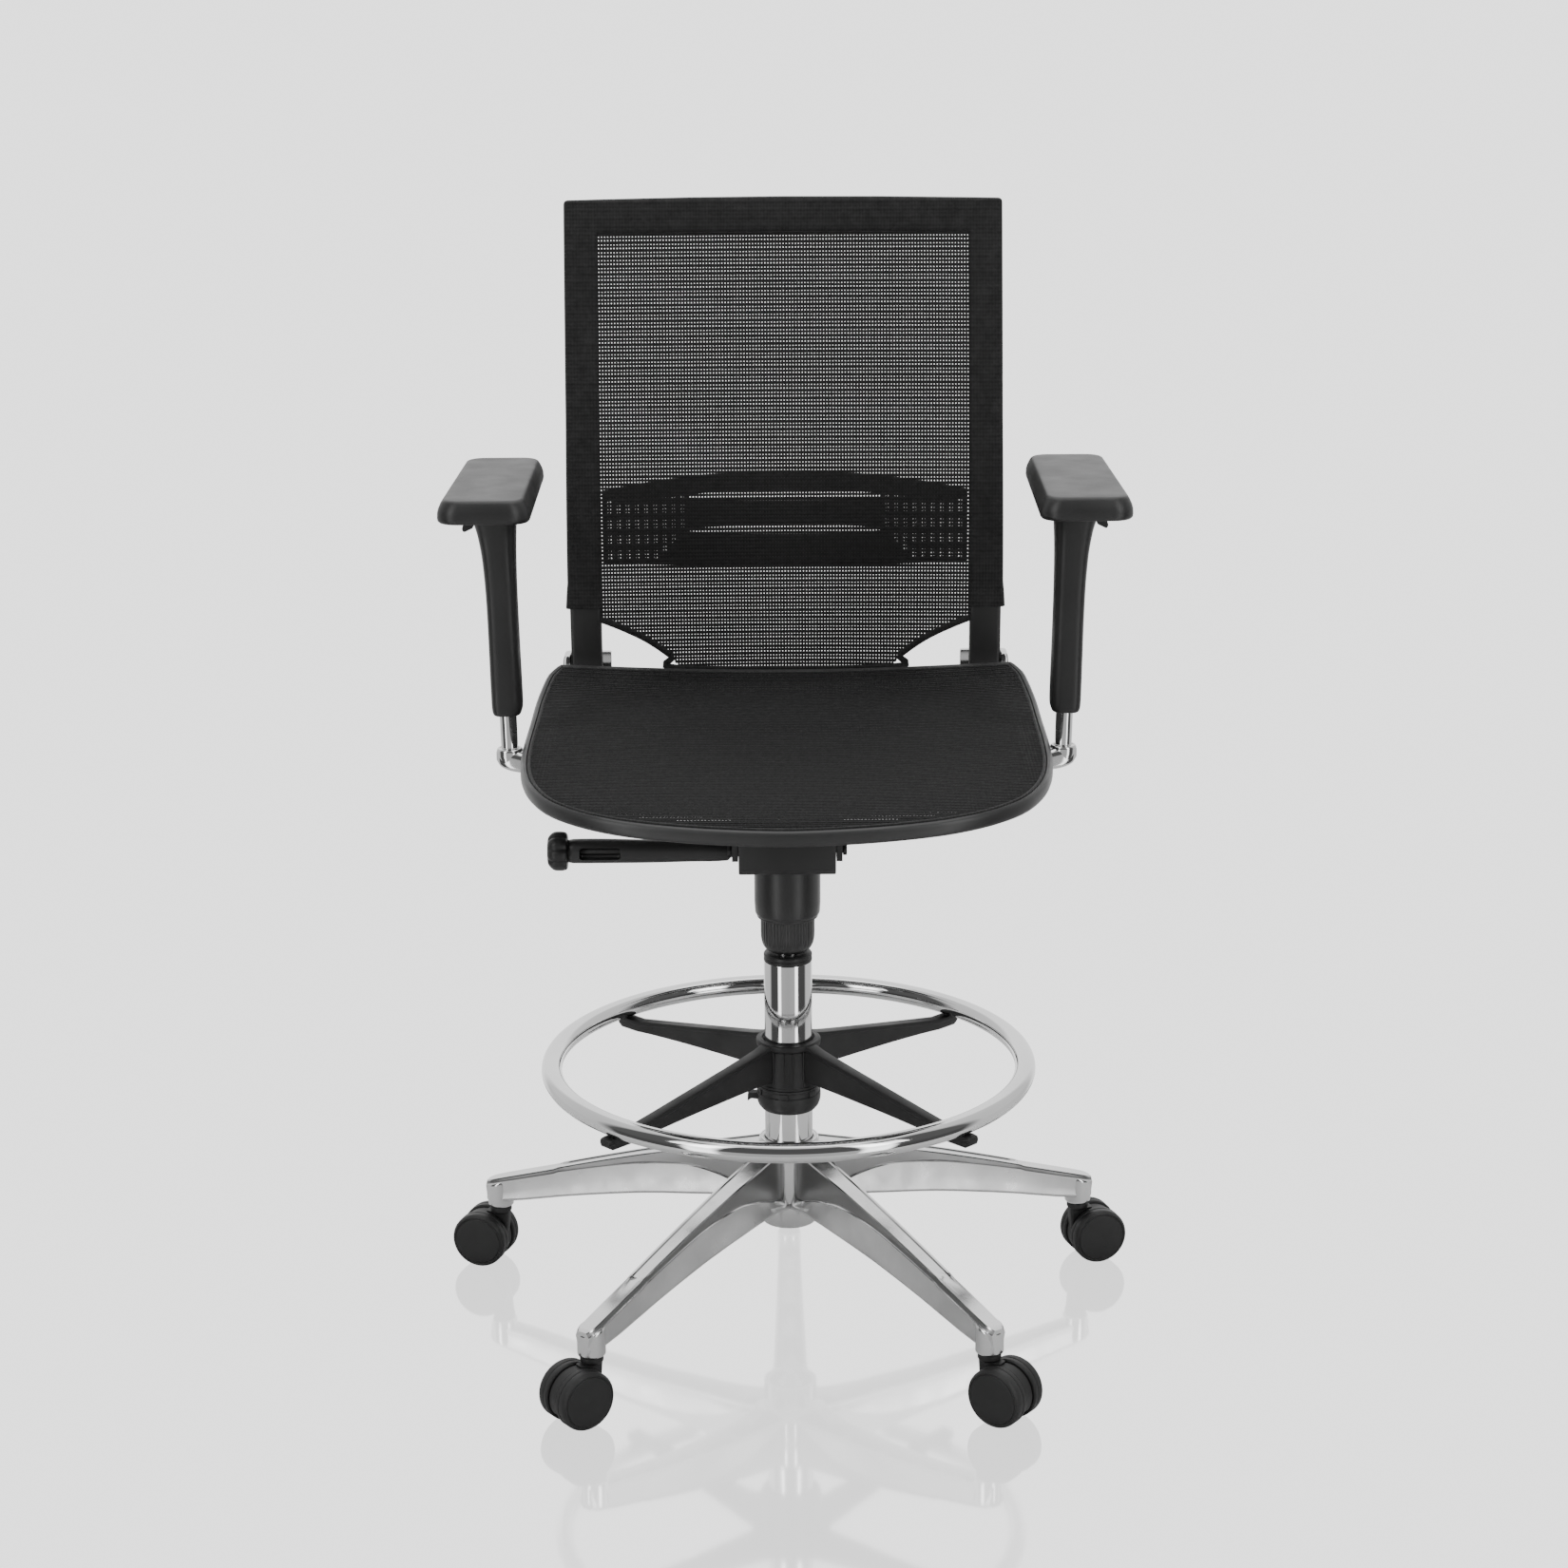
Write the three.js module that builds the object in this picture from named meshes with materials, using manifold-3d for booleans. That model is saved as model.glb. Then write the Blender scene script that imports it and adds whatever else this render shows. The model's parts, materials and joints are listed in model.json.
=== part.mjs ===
// Drafting chair: five-leg base, gas column with foot ring, mesh seat and mesh back.
// Millimetres, +Z up. The seated person faces -Y, and their left hand is at +X.
// Each shape is drawn with the column's axis at x = y = 0 and the floor at z = 0.
// The finished chair is moved along Y, so that the origin is the middle of its footprint.

import * as THREE from 'three';
import { LoftGeometry } from 'three/addons/geometries/LoftGeometry.js';
import { mergeVertices } from 'three/addons/utils/BufferGeometryUtils.js';
import Module from 'manifold-3d';

const wasm = await Module();
wasm.setup();

// ---- Driving dimensions ----

const GAP = 0.3; // between two pieces that touch
const FOOTPRINT_SHIFT = -33; // from the column's axis to the middle of the footprint

const BASE = { hubRadius: 30, hubTop: 187, hubBottom: 93, tipRadius: 330.5, tipBottom: 67 };
const LEG_ANGLES = [36, 108, 180, 252, 324]; // from -Y, the front, towards +X
const COLUMN = { radius: 25, wall: 2, bottom: 94, floor: 4, top: 381, collarTop: 390 };
const GAS = { radius: 14, wall: 1.2, bottom: 112, top: 530 };
const PISTON = { rodRadius: 5, rodBottom: 86, bottom: 319 };
const COVER = { radius: 34.2, bottom: 428.5, top: 498.7 };
const SLEEVE = { radius: 28, bottom: 392.6, top: 456 };
const RING = { radius: 246, tube: 10.5, height: 268.3 };
const SPIDER = { hubRadius: 34, bottom: 247, top: 297, spokes: 4, spokeWidth: 12, reach: 258 };
const LOCK = { radius: 33.5, bottom: 220, top: 246.7 };
const COLLET = { radius: 28, bottom: 222, top: 268 };

const WHEEL = { radius: 30, width: 18 };
const CASTER = { hoodWidth: 12, trail: 19, pinRadius: 3.5, stemRadius: 5.5, socketRadius: 5.8 };
const FRONT_CASTER_TURN = 17; // front casters trail this many degrees outside their leg

const HOUSING = { width: 97, front: -90, rear: 118, bottom: 499, top: 556, wall: 4 };
const TILT_AXIS = { y: 62, z: 540 };
const SEAT_AXIS = { y: -76, z: 523 };
const LEVER = { y: -55, z: 516, root: -40, end: -218.6, outer: 12, inner: 4.6 };
const KNOB = { radius: 20, inner: -220, outer: -240.5 };

const SEAT = { rear: 225, front: -270, rearHalf: 256, widestHalf: 266, rearDip: 9 };
const SEAT_RIM = { width: 26, thick: 15, mesh: 3, sides: 44 };
const SEAT_MIDDLE_Y = -21;
const BACK = { halfTop: 233, halfLow: 232, top: 1132, bottom: 606, depth: 18, rail: 34, mesh: 2.4 };
const LUMBAR = { halfWidth: 196, bottom: 742, top: 846, thick: 5, behind: 10 };

const ARM = { y: 20, footX: 282, topX: 287, footZ: 604, topZ: 852, tubeRadius: 8.8 };
const PAD = { x: 291, front: -104, rear: 160, bottom: 857, top: 880, frontWidth: 90, rearWidth: 84 };

// ---- Materials ----

function finish(color, roughness, metalness) {
  return new THREE.MeshStandardMaterial({ color, roughness, metalness });
}
const CHROME = () => finish(0xd8d9db, 0.06, 1.0);
const ALUMINIUM = () => finish(0xc4c5c7, 0.18, 1.0);
const STEEL = () => finish(0x8b8d90, 0.35, 1.0);
const ZINC_SPRING = () => finish(0x55575a, 0.4, 0.9);
const BLACK_PLASTIC = () => finish(0x2b2b2c, 0.5, 0.0);
const DARK_PAINT = () => finish(0x262627, 0.45, 0.2);
const MESH_CLOTH = () => finish(0x18181a, 0.85, 0.0);
const SOFT_PAD = () => finish(0x3a3b3c, 0.42, 0.0);
const WHEEL_NYLON = () => finish(0x2a2a2b, 0.5, 0.0);

// ---- Small geometry helpers ----

const radians = THREE.MathUtils.degToRad;

// One closed surface with shared corners, no empty triangles and its faces pointing out.
function closed(source) {
  const plain = new THREE.BufferGeometry();
  const flat = source.index ? source.toNonIndexed() : source;
  plain.setAttribute('position', flat.getAttribute('position').clone());
  const merged = mergeVertices(plain, 1e-3);
  const index = Array.from(merged.index.array);
  const kept = [];
  for (let i = 0; i < index.length; i += 3) {
    const [a, b, c] = index.slice(i, i + 3);
    if (a !== b && b !== c && a !== c) kept.push(a, b, c);
  }
  merged.setIndex(kept);
  if (signedVolume(merged) < 0) merged.setIndex(kept.reverse());
  return merged;
}

function signedVolume(geometry) {
  const position = geometry.getAttribute('position');
  const index = geometry.index.array;
  const a = new THREE.Vector3();
  const b = new THREE.Vector3();
  const c = new THREE.Vector3();
  let six = 0;
  for (let i = 0; i < index.length; i += 3) {
    a.fromBufferAttribute(position, index[i]);
    b.fromBufferAttribute(position, index[i + 1]);
    c.fromBufferAttribute(position, index[i + 2]);
    six += a.dot(b.cross(c));
  }
  return six / 6;
}

function solid(geometry) {
  const g = closed(geometry);
  const vertProperties = new Float32Array(g.getAttribute('position').array);
  const triVerts = new Uint32Array(g.index.array);
  return new wasm.Manifold(new wasm.Mesh({ numProp: 3, vertProperties, triVerts }));
}

function geometryOf(manifold) {
  const mesh = manifold.getMesh();
  const g = new THREE.BufferGeometry();
  g.setAttribute('position', new THREE.BufferAttribute(new Float32Array(mesh.vertProperties), 3));
  g.setIndex(Array.from(mesh.triVerts));
  return g;
}

function cut(body, ...tools) {
  return geometryOf(tools.reduce((left, tool) => left.subtract(solid(tool)), solid(body)));
}

function joined(...pieces) {
  return geometryOf(pieces.map(solid).reduce((sum, piece) => sum.add(piece)));
}

// A profile of [radius, z] points turned about Z. A ring's profile closes on itself.
function turned(profile, segments = 24) {
  const points = profile.map(([r, z]) => new THREE.Vector2(r, z));
  if (profile[0][0] > 0) points.push(points[0].clone());
  return closed(new THREE.LatheGeometry(points, segments).rotateX(Math.PI / 2));
}

function ring(inner, outer, bottom, top, segments = 24) {
  return turned([[inner, bottom], [outer, bottom], [outer, top], [inner, top]], segments);
}

function rod(radius, bottom, top, segments = 16) {
  return turned([[0, bottom], [radius, bottom], [radius, top], [0, top]], segments);
}

function box(x0, x1, y0, y1, z0, z1) {
  const g = new THREE.BoxGeometry(x1 - x0, y1 - y0, z1 - z0);
  return closed(g.translate((x0 + x1) / 2, (y0 + y1) / 2, (z0 + z1) / 2));
}

// A rod along X or Y, through (x, y, z) at its middle.
function rodAlong(axis, radius, length, x, y, z, segments = 14) {
  const g = rod(radius, -length / 2, length / 2, segments);
  if (axis === 'x') g.rotateY(Math.PI / 2);
  else g.rotateX(Math.PI / 2);
  return g.translate(x, y, z);
}

function point(x, y, z) {
  return new THREE.Vector3(x, y, z);
}

// The way a section faces, by the sum of its edges' cross products.
function facing(section) {
  const normal = point(0, 0, 0);
  section.forEach((p, i) => {
    const q = section[(i + 1) % section.length];
    normal.add(point(0, 0, 0).crossVectors(p, q));
  });
  return normal;
}

// Sections in order along a solid; each is turned to face the last one.
function loft(sections) {
  const onward = point(0, 0, 0).subVectors(sections[1][0], sections[0][0]);
  const ordered = facing(sections[0]).dot(onward) < 0 ? sections.map((s) => [...s].reverse()) : sections;
  return closed(new LoftGeometry(ordered, { capStart: true, capEnd: true }));
}

// A loft whose last section meets its first.
function loopLoft(sections) {
  return closed(new LoftGeometry([...sections, sections[0]]));
}

// Straight lines between [input, output] pairs.
function along(table, x) {
  let i = 1;
  while (i < table.length - 1 && x > table[i][0]) i += 1;
  const [x0, y0] = table[i - 1];
  const [x1, y1] = table[i];
  const t = THREE.MathUtils.clamp((x - x0) / (x1 - x0), 0, 1);
  return y0 + t * (y1 - y0);
}

function mesh(name, geometry, material) {
  const made = new THREE.Mesh(geometry, material);
  made.name = name;
  return made;
}

function group(...children) {
  return new THREE.Group().add(...children);
}

// The same pieces on the seated person's right, mirrored in X and renamed.
function mirrored(source) {
  const copy = source.clone();
  copy.scale.x = -1;
  copy.traverse((o) => {
    o.name = o.name.replace('left', 'right');
  });
  return copy;
}

// ---- Five-leg base ----

// [distance from the axis, top, underside, width of the top face, width of the foot]
const LEG_STATIONS = [
  [12, 186, 118, 29, 44],
  [46, 180, 119, 26, 42],
  [110, 165, 113, 22, 37],
  [172, 147, 105.5, 20, 33],
  [240, 127.5, 93, 19, 29],
  [300, 109.5, 80, 19, 27],
  [341, 97, 72, 18, 22],
];
const LEG_WALL = 5;
const LEG_ROOF = 13; // metal above the channel in the underside

function legLoft(inset) {
  const sections = LEG_STATIONS.map(([r, top, low, wide, foot]) => {
    const upper = inset > 0 ? top - LEG_ROOF : top;
    const under = inset > 0 ? low - 8 : low;
    const a = wide / 2 - inset;
    const b = foot / 2 - inset;
    const edge = Math.max(2.5 - inset / 2, 0.8);
    return [
      point(r, -b, under), point(r, b, under), point(r, a + edge, upper - 6 - edge), point(r, a, upper),
      point(r, -a, upper), point(r, -a - edge, upper - 6 - edge),
    ];
  });
  return loft(sections);
}

function starBase() {
  const { tipRadius, tipBottom, hubRadius, hubTop, hubBottom } = BASE;
  const hub = turned([
    [0, hubBottom], [28.5, hubBottom], [28.5, 118], [hubRadius, 121],
    [hubRadius + 4, 178], [hubRadius + 2, hubTop - 1.5], [hubRadius, hubTop], [0, hubTop],
  ], 26);
  const lid = loft([[300, 109.5], [355, 93]].map(([r, top]) => [
    point(r, -30, 0), point(r, 30, 0), point(r, 30, top), point(r, -30, top),
  ]));
  const socketOuter = solid(rod(14, tipBottom, 110, 16).translate(tipRadius, 0, 0)).intersect(solid(lid));
  let body = solid(hub);
  for (const angle of LEG_ANGLES) {
    const leg = solid(legLoft(0)).add(socketOuter);
    const hollow = legLoft(LEG_WALL);
    const keepOut = solid(hollow).subtract(solid(rod(40, 60, 200, 16)));
    const shaped = leg.subtract(keepOut.subtract(solid(rod(15, 60, 200, 12).translate(tipRadius, 0, 0))));
    body = body.add(solid(geometryOf(shaped).rotateZ(radians(angle - 90))));
  }
  const bore = rod(COLUMN.radius + 0.6, 60, 200, 26);
  body = body.subtract(solid(bore));
  for (const angle of LEG_ANGLES) {
    const socket = rod(CASTER.socketRadius, 60, 89, 12).translate(tipRadius, 0, 0);
    body = body.subtract(solid(socket.rotateZ(radians(angle - 90))));
  }
  return mesh('star_base', geometryOf(body), ALUMINIUM());
}

// ---- Gas column ----

function columnPieces() {
  const { radius, wall, bottom, floor, top, collarTop } = COLUMN;
  const rodHole = PISTON.rodRadius + GAP;
  const inner = radius - wall;
  const tube = turned([
    [rodHole, bottom], [radius - 1, bottom], [radius, bottom + 1], [radius, top],
    [inner, top], [inner, bottom + floor], [rodHole, bottom + floor],
  ], 26);
  const guide = GAS.radius + GAP;
  const bushing = turned([
    [guide, 326], [inner - GAP, 326], [inner - GAP, top + GAP], [radius, top + GAP],
    [radius, collarTop - 1.5], [radius - 2, collarTop], [guide, collarTop],
  ], 26);
  return group(mesh('column_tube', tube, CHROME()), mesh('column_bushing', bushing, BLACK_PLASTIC()));
}

function pistonPieces() {
  const { rodRadius, rodBottom, bottom } = PISTON;
  const head = GAS.radius - GAS.wall - GAP;
  const grooveTop = COLUMN.bottom - GAP;
  const grooveBottom = grooveTop - 2.4;
  const shaft = turned([
    [0, rodBottom], [rodRadius, rodBottom], [rodRadius, grooveBottom],
    [rodRadius - 1, grooveBottom], [rodRadius - 1, grooveTop], [rodRadius, grooveTop],
    [rodRadius, bottom], [head, bottom], [head, bottom + 12], [0, bottom + 12],
  ], 18);
  const clipInner = rodRadius - 1 + GAP;
  const slot = box(-2.6, 2.6, 0, 12, rodBottom - 2, COLUMN.bottom + 2);
  const clip = cut(ring(clipInner, 9, grooveBottom + GAP, grooveTop - GAP, 18), slot);
  const floorTop = COLUMN.bottom + COLUMN.floor + GAP;
  const bearing = ring(rodRadius + GAP, 12, floorTop, floorTop + 7.4, 20);
  return group(
    mesh('piston_rod', shaft, STEEL()),
    mesh('retaining_clip', clip, STEEL()),
    mesh('thrust_bearing', bearing, STEEL()),
  );
}

function gasCylinder() {
  const { radius, wall, bottom, top } = GAS;
  const inner = radius - wall;
  const hole = PISTON.rodRadius + GAP;
  const pinHole = 3 + GAP;
  const shell = turned([
    [hole, bottom], [radius - 1, bottom], [radius, bottom + 1], [radius, top], [pinHole, top],
    [pinHole, top - 8], [inner, top - 8], [inner, bottom + 6], [hole, bottom + 6],
  ], 20);
  return mesh('gas_cylinder', shell, CHROME());
}

function valvePin() {
  const { top } = GAS;
  const pin = turned([
    [0, top - 6], [3, top - 6], [3, top + 4.5], [4.5, top + 4.5], [4.5, top + 7], [0, top + 7],
  ], 14);
  return mesh('valve_pin', pin, STEEL());
}

function coverPieces() {
  const { radius, bottom, top } = COVER;
  const upper = turned([
    [radius - 1.6, bottom], [radius - 0.6, bottom], [radius, bottom + 1.5], [radius, top],
    [radius - 2.4, top], [radius - 2.4, bottom + 3],
  ], 26);
  const throat = GAS.radius + 0.8;
  const wide = SLEEVE.radius;
  const shape = [
    [throat, SLEEVE.bottom], [19.5, SLEEVE.bottom], [22.5, 401], [25.6, 405], [27.4, 410.5],
    [wide, 418], [wide, SLEEVE.top], [wide - 2, SLEEVE.top], [wide - 2, 418],
    [wide - 4, 411], [throat + 5, 404], [throat, 402.5],
  ];
  return {
    upper: mesh('cover_upper', upper, BLACK_PLASTIC()),
    lower: mesh('cover_lower', turned(shape, 26), BLACK_PLASTIC()),
  };
}

// ---- Foot ring ----

function footRing() {
  const torus = new THREE.TorusGeometry(RING.radius, RING.tube, 8, 56);
  return mesh('foot_ring', closed(torus.translate(0, 0, RING.height)), CHROME());
}

function footSpider() {
  const { hubRadius, bottom, top, spokeWidth, reach } = SPIDER;
  const under = RING.height - RING.tube - GAP;
  const outline = new THREE.Shape([
    [20, top - 2], [46, top - 4], [70, top - 14], [150, top - 27], [228, under], [reach, under],
    [reach, under - 8], [reach - 6, under - 12], [226, under - 12], [120, under - 5], [20, bottom + 1],
  ].map(([r, z]) => new THREE.Vector2(r, z)));
  let body = solid(turned([
    [0, bottom], [hubRadius, bottom], [hubRadius, top - 2], [hubRadius - 2, top], [0, top],
  ], 24));
  for (let i = 0; i < SPIDER.spokes; i += 1) {
    const spoke = new THREE.ExtrudeGeometry(outline, { depth: spokeWidth, bevelEnabled: false });
    spoke.translate(0, 0, -spokeWidth / 2).rotateX(Math.PI / 2).rotateZ(radians(45 + 90 * i));
    body = body.add(solid(spoke));
  }
  body = body.subtract(solid(rod(COLUMN.radius + 0.6, bottom - 5, top + 5, 26)));
  body = body.subtract(solid(rod(COLLET.radius + 0.6, bottom - 5, COLLET.top + 0.4, 26)));
  return mesh('foot_ring_spider', geometryOf(body), BLACK_PLASTIC());
}

function footCollet() {
  const sleeve = ring(COLUMN.radius + 0.6, COLLET.radius, COLLET.bottom, COLLET.top, 26);
  const slit = box(-1.5, 1.5, 0, 40, COLLET.bottom - 2, COLLET.top + 2);
  return mesh('foot_ring_collet', cut(sleeve, slit), BLACK_PLASTIC());
}

function footLockCollar() {
  const { radius, bottom, top } = LOCK;
  const bore = COLLET.radius + 0.6;
  const bell = turned([
    [bore, bottom], [radius - 4.5, bottom], [radius - 1.5, bottom + 3], [radius, bottom + 9],
    [radius, top - 6], [radius - 1, top - 5], [radius - 1, top], [bore, top],
  ], 24);
  const tab = box(-radius - 9, -radius + 3, -5, 5, bottom + 9, bottom + 16);
  const hook = box(-radius - 9, -radius - 6, -5, 5, bottom + 7, bottom + 16);
  let body = solid(bell).add(solid(tab)).add(solid(hook));
  for (let i = 0; i < 6; i += 1) {
    const slot = box(radius - 1.6, radius + 3, -3, 3, bottom + 8, bottom + 15);
    body = body.subtract(solid(slot.rotateZ(radians(30 + 60 * i))));
  }
  return mesh('foot_ring_lock_collar', geometryOf(body), BLACK_PLASTIC());
}

// ---- Casters ----

// Drawn with the stem on Z and the wheels trailing towards +X; the wheels turn about Y.
function casterPieces(label) {
  const { hoodWidth, trail, pinRadius, stemRadius } = CASTER;
  const height = WHEEL.radius;
  const collarTop = BASE.tipBottom - GAP;
  const neckTop = 61.2;
  const stem = turned([
    [0, 42], [pinRadius, 42], [pinRadius, neckTop + GAP], [9, neckTop + GAP],
    [9, collarTop], [stemRadius, collarTop], [stemRadius, 86], [0, 86],
  ], 10);
  const half = hoodWidth / 2;
  const core = rodAlong('y', height - 4, hoodWidth, trail, 0, height, 16);
  const hood = box(-7, trail, -half, half, 38, 58);
  const neck = rod(9, 57.7, neckTop, 12);
  const axle = rodAlong('y', 4, 2 * (half + WHEEL.width - 3), trail, 0, height, 8);
  const housing = cut(joined(core, hood, neck, axle), rod(pinRadius + GAP, 41.5, 70, 10));
  const wheel = wheelShape();
  const side = half + 0.6;
  const near = wheel.clone().rotateX(-Math.PI / 2).translate(trail, side, height);
  const far = wheel.clone().rotateX(Math.PI / 2).translate(trail, -side, height);
  return group(
    mesh(`caster_${label}_stem`, stem, STEEL()),
    mesh(`caster_${label}_housing`, housing, WHEEL_NYLON()),
    mesh(`caster_${label}_wheel_a`, near, WHEEL_NYLON()),
    mesh(`caster_${label}_wheel_b`, far, WHEEL_NYLON()),
  );
}

// One wheel, turned about Z: its inner face at z = 0, its crowned outer face above, a blind axle bore.
// It has flats, and one of them is square to +X and -X, so that the wheel stands on a flat.
function wheelShape() {
  const { radius, width } = WHEEL;
  const flats = 16;
  const axle = 4.7;
  const tread = radius / Math.cos(Math.PI / flats);
  const profile = [
    [axle, 0], [tread - 1.2, 0], [tread, 1.2], [tread, width - 5],
    [tread - 3, width - 1.6], [0, width], [0, width - 2.4], [axle, width - 2.4],
  ];
  return turned(profile.reverse(), flats).rotateZ(Math.PI / flats);
}

function casters() {
  const labels = ['front_left', 'side_left', 'rear', 'side_right', 'front_right'];
  const turns = [FRONT_CASTER_TURN, 0, 0, 0, -FRONT_CASTER_TURN];
  return group(...labels.map((label, i) => {
    const made = casterPieces(label);
    const angle = radians(LEG_ANGLES[i] - 90);
    made.position.set(BASE.tipRadius * Math.cos(angle), BASE.tipRadius * Math.sin(angle), 0);
    made.rotation.z = angle + radians(turns[i]);
    return made;
  }));
}

// ---- Mechanism ----

function mechanismHousing() {
  const { width, front, rear, bottom, top, wall } = HOUSING;
  const half = width / 2;
  const outline = new THREE.Shape([
    [front, bottom + 6], [front + 5, bottom], [34, bottom], [rear, bottom + 18], [rear, top], [front, top],
  ].map(([y, z]) => new THREE.Vector2(y, z)));
  const block = new THREE.ExtrudeGeometry(outline, { depth: width, bevelEnabled: false });
  block.rotateX(Math.PI / 2).rotateZ(Math.PI / 2).translate(-half, 0, 0);
  const roomFront = box(-half + wall, half - wall, front + wall, 30, bottom + 5, top + 5);
  const roomRear = box(-half + wall, half - wall, 28, rear - wall, bottom + 22, top + 5);
  const boss = rod(20, bottom, bottom + 27, 24);
  const socket = rod(GAS.radius + GAP, bottom - 5, GAS.top + 8, 24);
  const holes = [
    rodAlong('x', 6 + GAP, width + 20, 0, TILT_AXIS.y, TILT_AXIS.z),
    rodAlong('x', 4 + GAP, width + 20, 0, SEAT_AXIS.y, SEAT_AXIS.z),
    rodAlong('x', 9, 30, -half, LEVER.y, LEVER.z),
  ];
  const hollow = solid(block).subtract(solid(roomFront)).subtract(solid(roomRear));
  let body = hollow.add(solid(boss)).subtract(solid(socket));
  for (const hole of holes) body = body.subtract(solid(hole));
  return mesh('mechanism_housing', geometryOf(body), DARK_PAINT());
}

// A shaft along X with a hexagon head at each end.
function headedShaft(name, radius, headRadius, length, { y, z }) {
  const shaft = rodAlong('x', radius, length, 0, y, z);
  const heads = [-1, 1].map((s) => rodAlong('x', headRadius, 4, s * (length / 2 + 1.5), y, z, 6));
  return mesh(name, joined(shaft, ...heads), STEEL());
}

function tiltSpring() {
  const turns = 6;
  const stepsPerTurn = 9;
  const steps = turns * stepsPerTurn;
  const coilRadius = 10.5;
  const path = new THREE.CatmullRomCurve3(Array.from({ length: steps + 1 }, (_, i) => {
    const a = (i / stepsPerTurn) * 2 * Math.PI;
    const x = -22 + (44 * i) / steps;
    return point(x, TILT_AXIS.y + coilRadius * Math.cos(a), TILT_AXIS.z + coilRadius * Math.sin(a));
  }));
  const wire = new THREE.Shape(new THREE.EllipseCurve(0, 0, 1.9, 1.9).getPoints(5).slice(0, 5));
  const coil = new THREE.ExtrudeGeometry(wire, { steps, bevelEnabled: false, extrudePath: path });
  return mesh('tilt_spring', closed(coil), ZINC_SPRING());
}

function liftLever() {
  const { y, z, root, end, outer, inner } = LEVER;
  const section = (x, ry, rz) => Array.from({ length: 14 }, (_, i) => {
    const a = (i / 14) * 2 * Math.PI;
    return point(x, y + ry * Math.cos(a), z + rz * Math.sin(a));
  });
  const handle = loft([
    section(root, 7.5, 6.4), section(-96, 9, 9), section(-140, 11, 11.4),
    section(-186, 12, outer), section(end + 4, 11.5, outer), section(end, 10.5, outer - 1),
  ]);
  const bore = rodAlong('x', inner + GAP, 260, -150, y, z, 12);
  const window = box(-208, -168, y - 20, y - 3, z - 5.5, z + 5.5);
  return mesh('lift_lever', cut(handle, bore, window), BLACK_PLASTIC());
}

function tensionPieces() {
  const { y, z, inner } = LEVER;
  const shaft = rodAlong('x', inner, 182, -138, y, z, 12);
  const teeth = 10;
  const outline = Array.from({ length: teeth * 4 }, (_, i) => {
    const deep = i % 4 >= 2 ? 1.6 : 0;
    const a = (i / (teeth * 4)) * 2 * Math.PI;
    return new THREE.Vector2((KNOB.radius - deep) * Math.cos(a), (KNOB.radius - deep) * Math.sin(a));
  });
  const depth = KNOB.inner - KNOB.outer - 4;
  const grip = new THREE.ExtrudeGeometry(new THREE.Shape(outline), {
    depth, bevelThickness: 2, bevelSize: 2, bevelOffset: -2, bevelSegments: 1,
  });
  grip.rotateY(Math.PI / 2).translate(KNOB.outer + 2, y, z);
  const hole = rodAlong('x', inner + GAP, 24, KNOB.inner, y, z, 12);
  return group(
    mesh('tension_rod', shaft, BLACK_PLASTIC()),
    mesh('tension_knob', cut(grip, hole), BLACK_PLASTIC()),
  );
}

// ---- Seat ----

// Height of the seat's top against Y, and its half width.
const SEAT_RISE = new THREE.CatmullRomCurve3([
  point(0, -270, 597), point(0, -240, 603), point(0, -190, 608), point(0, -120, 611.5), point(0, -30, 614),
  point(0, 70, 618), point(0, 150, 627.5), point(0, 225, 645),
]).getPoints(48).map((p) => [p.y, p.z]);

function seatOutline(inset, count) {
  const half = [
    [0, SEAT.front], [60, -266], [113, -258], [159, -246], [196, -227], [226, -200], [244, -168], [257, -125],
    [264, -70], [SEAT.widestHalf, 0], [265, 80], [263, 140], [SEAT.rearHalf, 196], [246, 216],
    [226, SEAT.rear], [0, SEAT.rear],
  ];
  const other = half.slice(1, -1).reverse().map(([x, y]) => [-x, y]);
  const corners = [...half, ...other].map(([x, y]) => point(x, y, 0));
  const curve = new THREE.CatmullRomCurve3(corners, true, 'centripetal');
  return curve.getSpacedPoints(count).slice(0, count).map((p, i, all) => {
    const before = all[(i + count - 1) % count];
    const after = all[(i + 1) % count];
    const tangent = after.clone().sub(before).normalize();
    return point(p.x - tangent.y * inset, p.y + tangent.x * inset, 0);
  });
}

// The middle of the seat hangs a little below its edge, and the rear edge dips in the middle.
function seatHeight(p, sag = 0) {
  const across = 1 - Math.min(1, Math.abs(p.x) / SEAT.widestHalf) ** 2;
  const dip = SEAT.rearDip * THREE.MathUtils.smoothstep(p.y, 60, SEAT.rear);
  return along(SEAT_RISE, p.y) - (sag + dip) * across;
}

function seatFrame() {
  const { width, thick, sides } = SEAT_RIM;
  const outer = seatOutline(0, sides);
  const inner = seatOutline(width, sides);
  const shelf = SEAT_RIM.mesh + 2;
  const sections = outer.map((o, i) => {
    const n = inner[i];
    const top = seatHeight(o);
    const inside = seatHeight(n);
    const between = (share, z) => point(o.x + (n.x - o.x) * share, o.y + (n.y - o.y) * share, z);
    return [
      between(0, top - 2), between(0, top - thick + 2), between(0.12, top - thick),
      between(1, inside - thick), between(1, inside - shelf),
      between(0.2, top - shelf), between(0.14, top - 0.4),
    ];
  });
  return mesh('seat_frame', loopLoft(sections), BLACK_PLASTIC());
}

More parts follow.
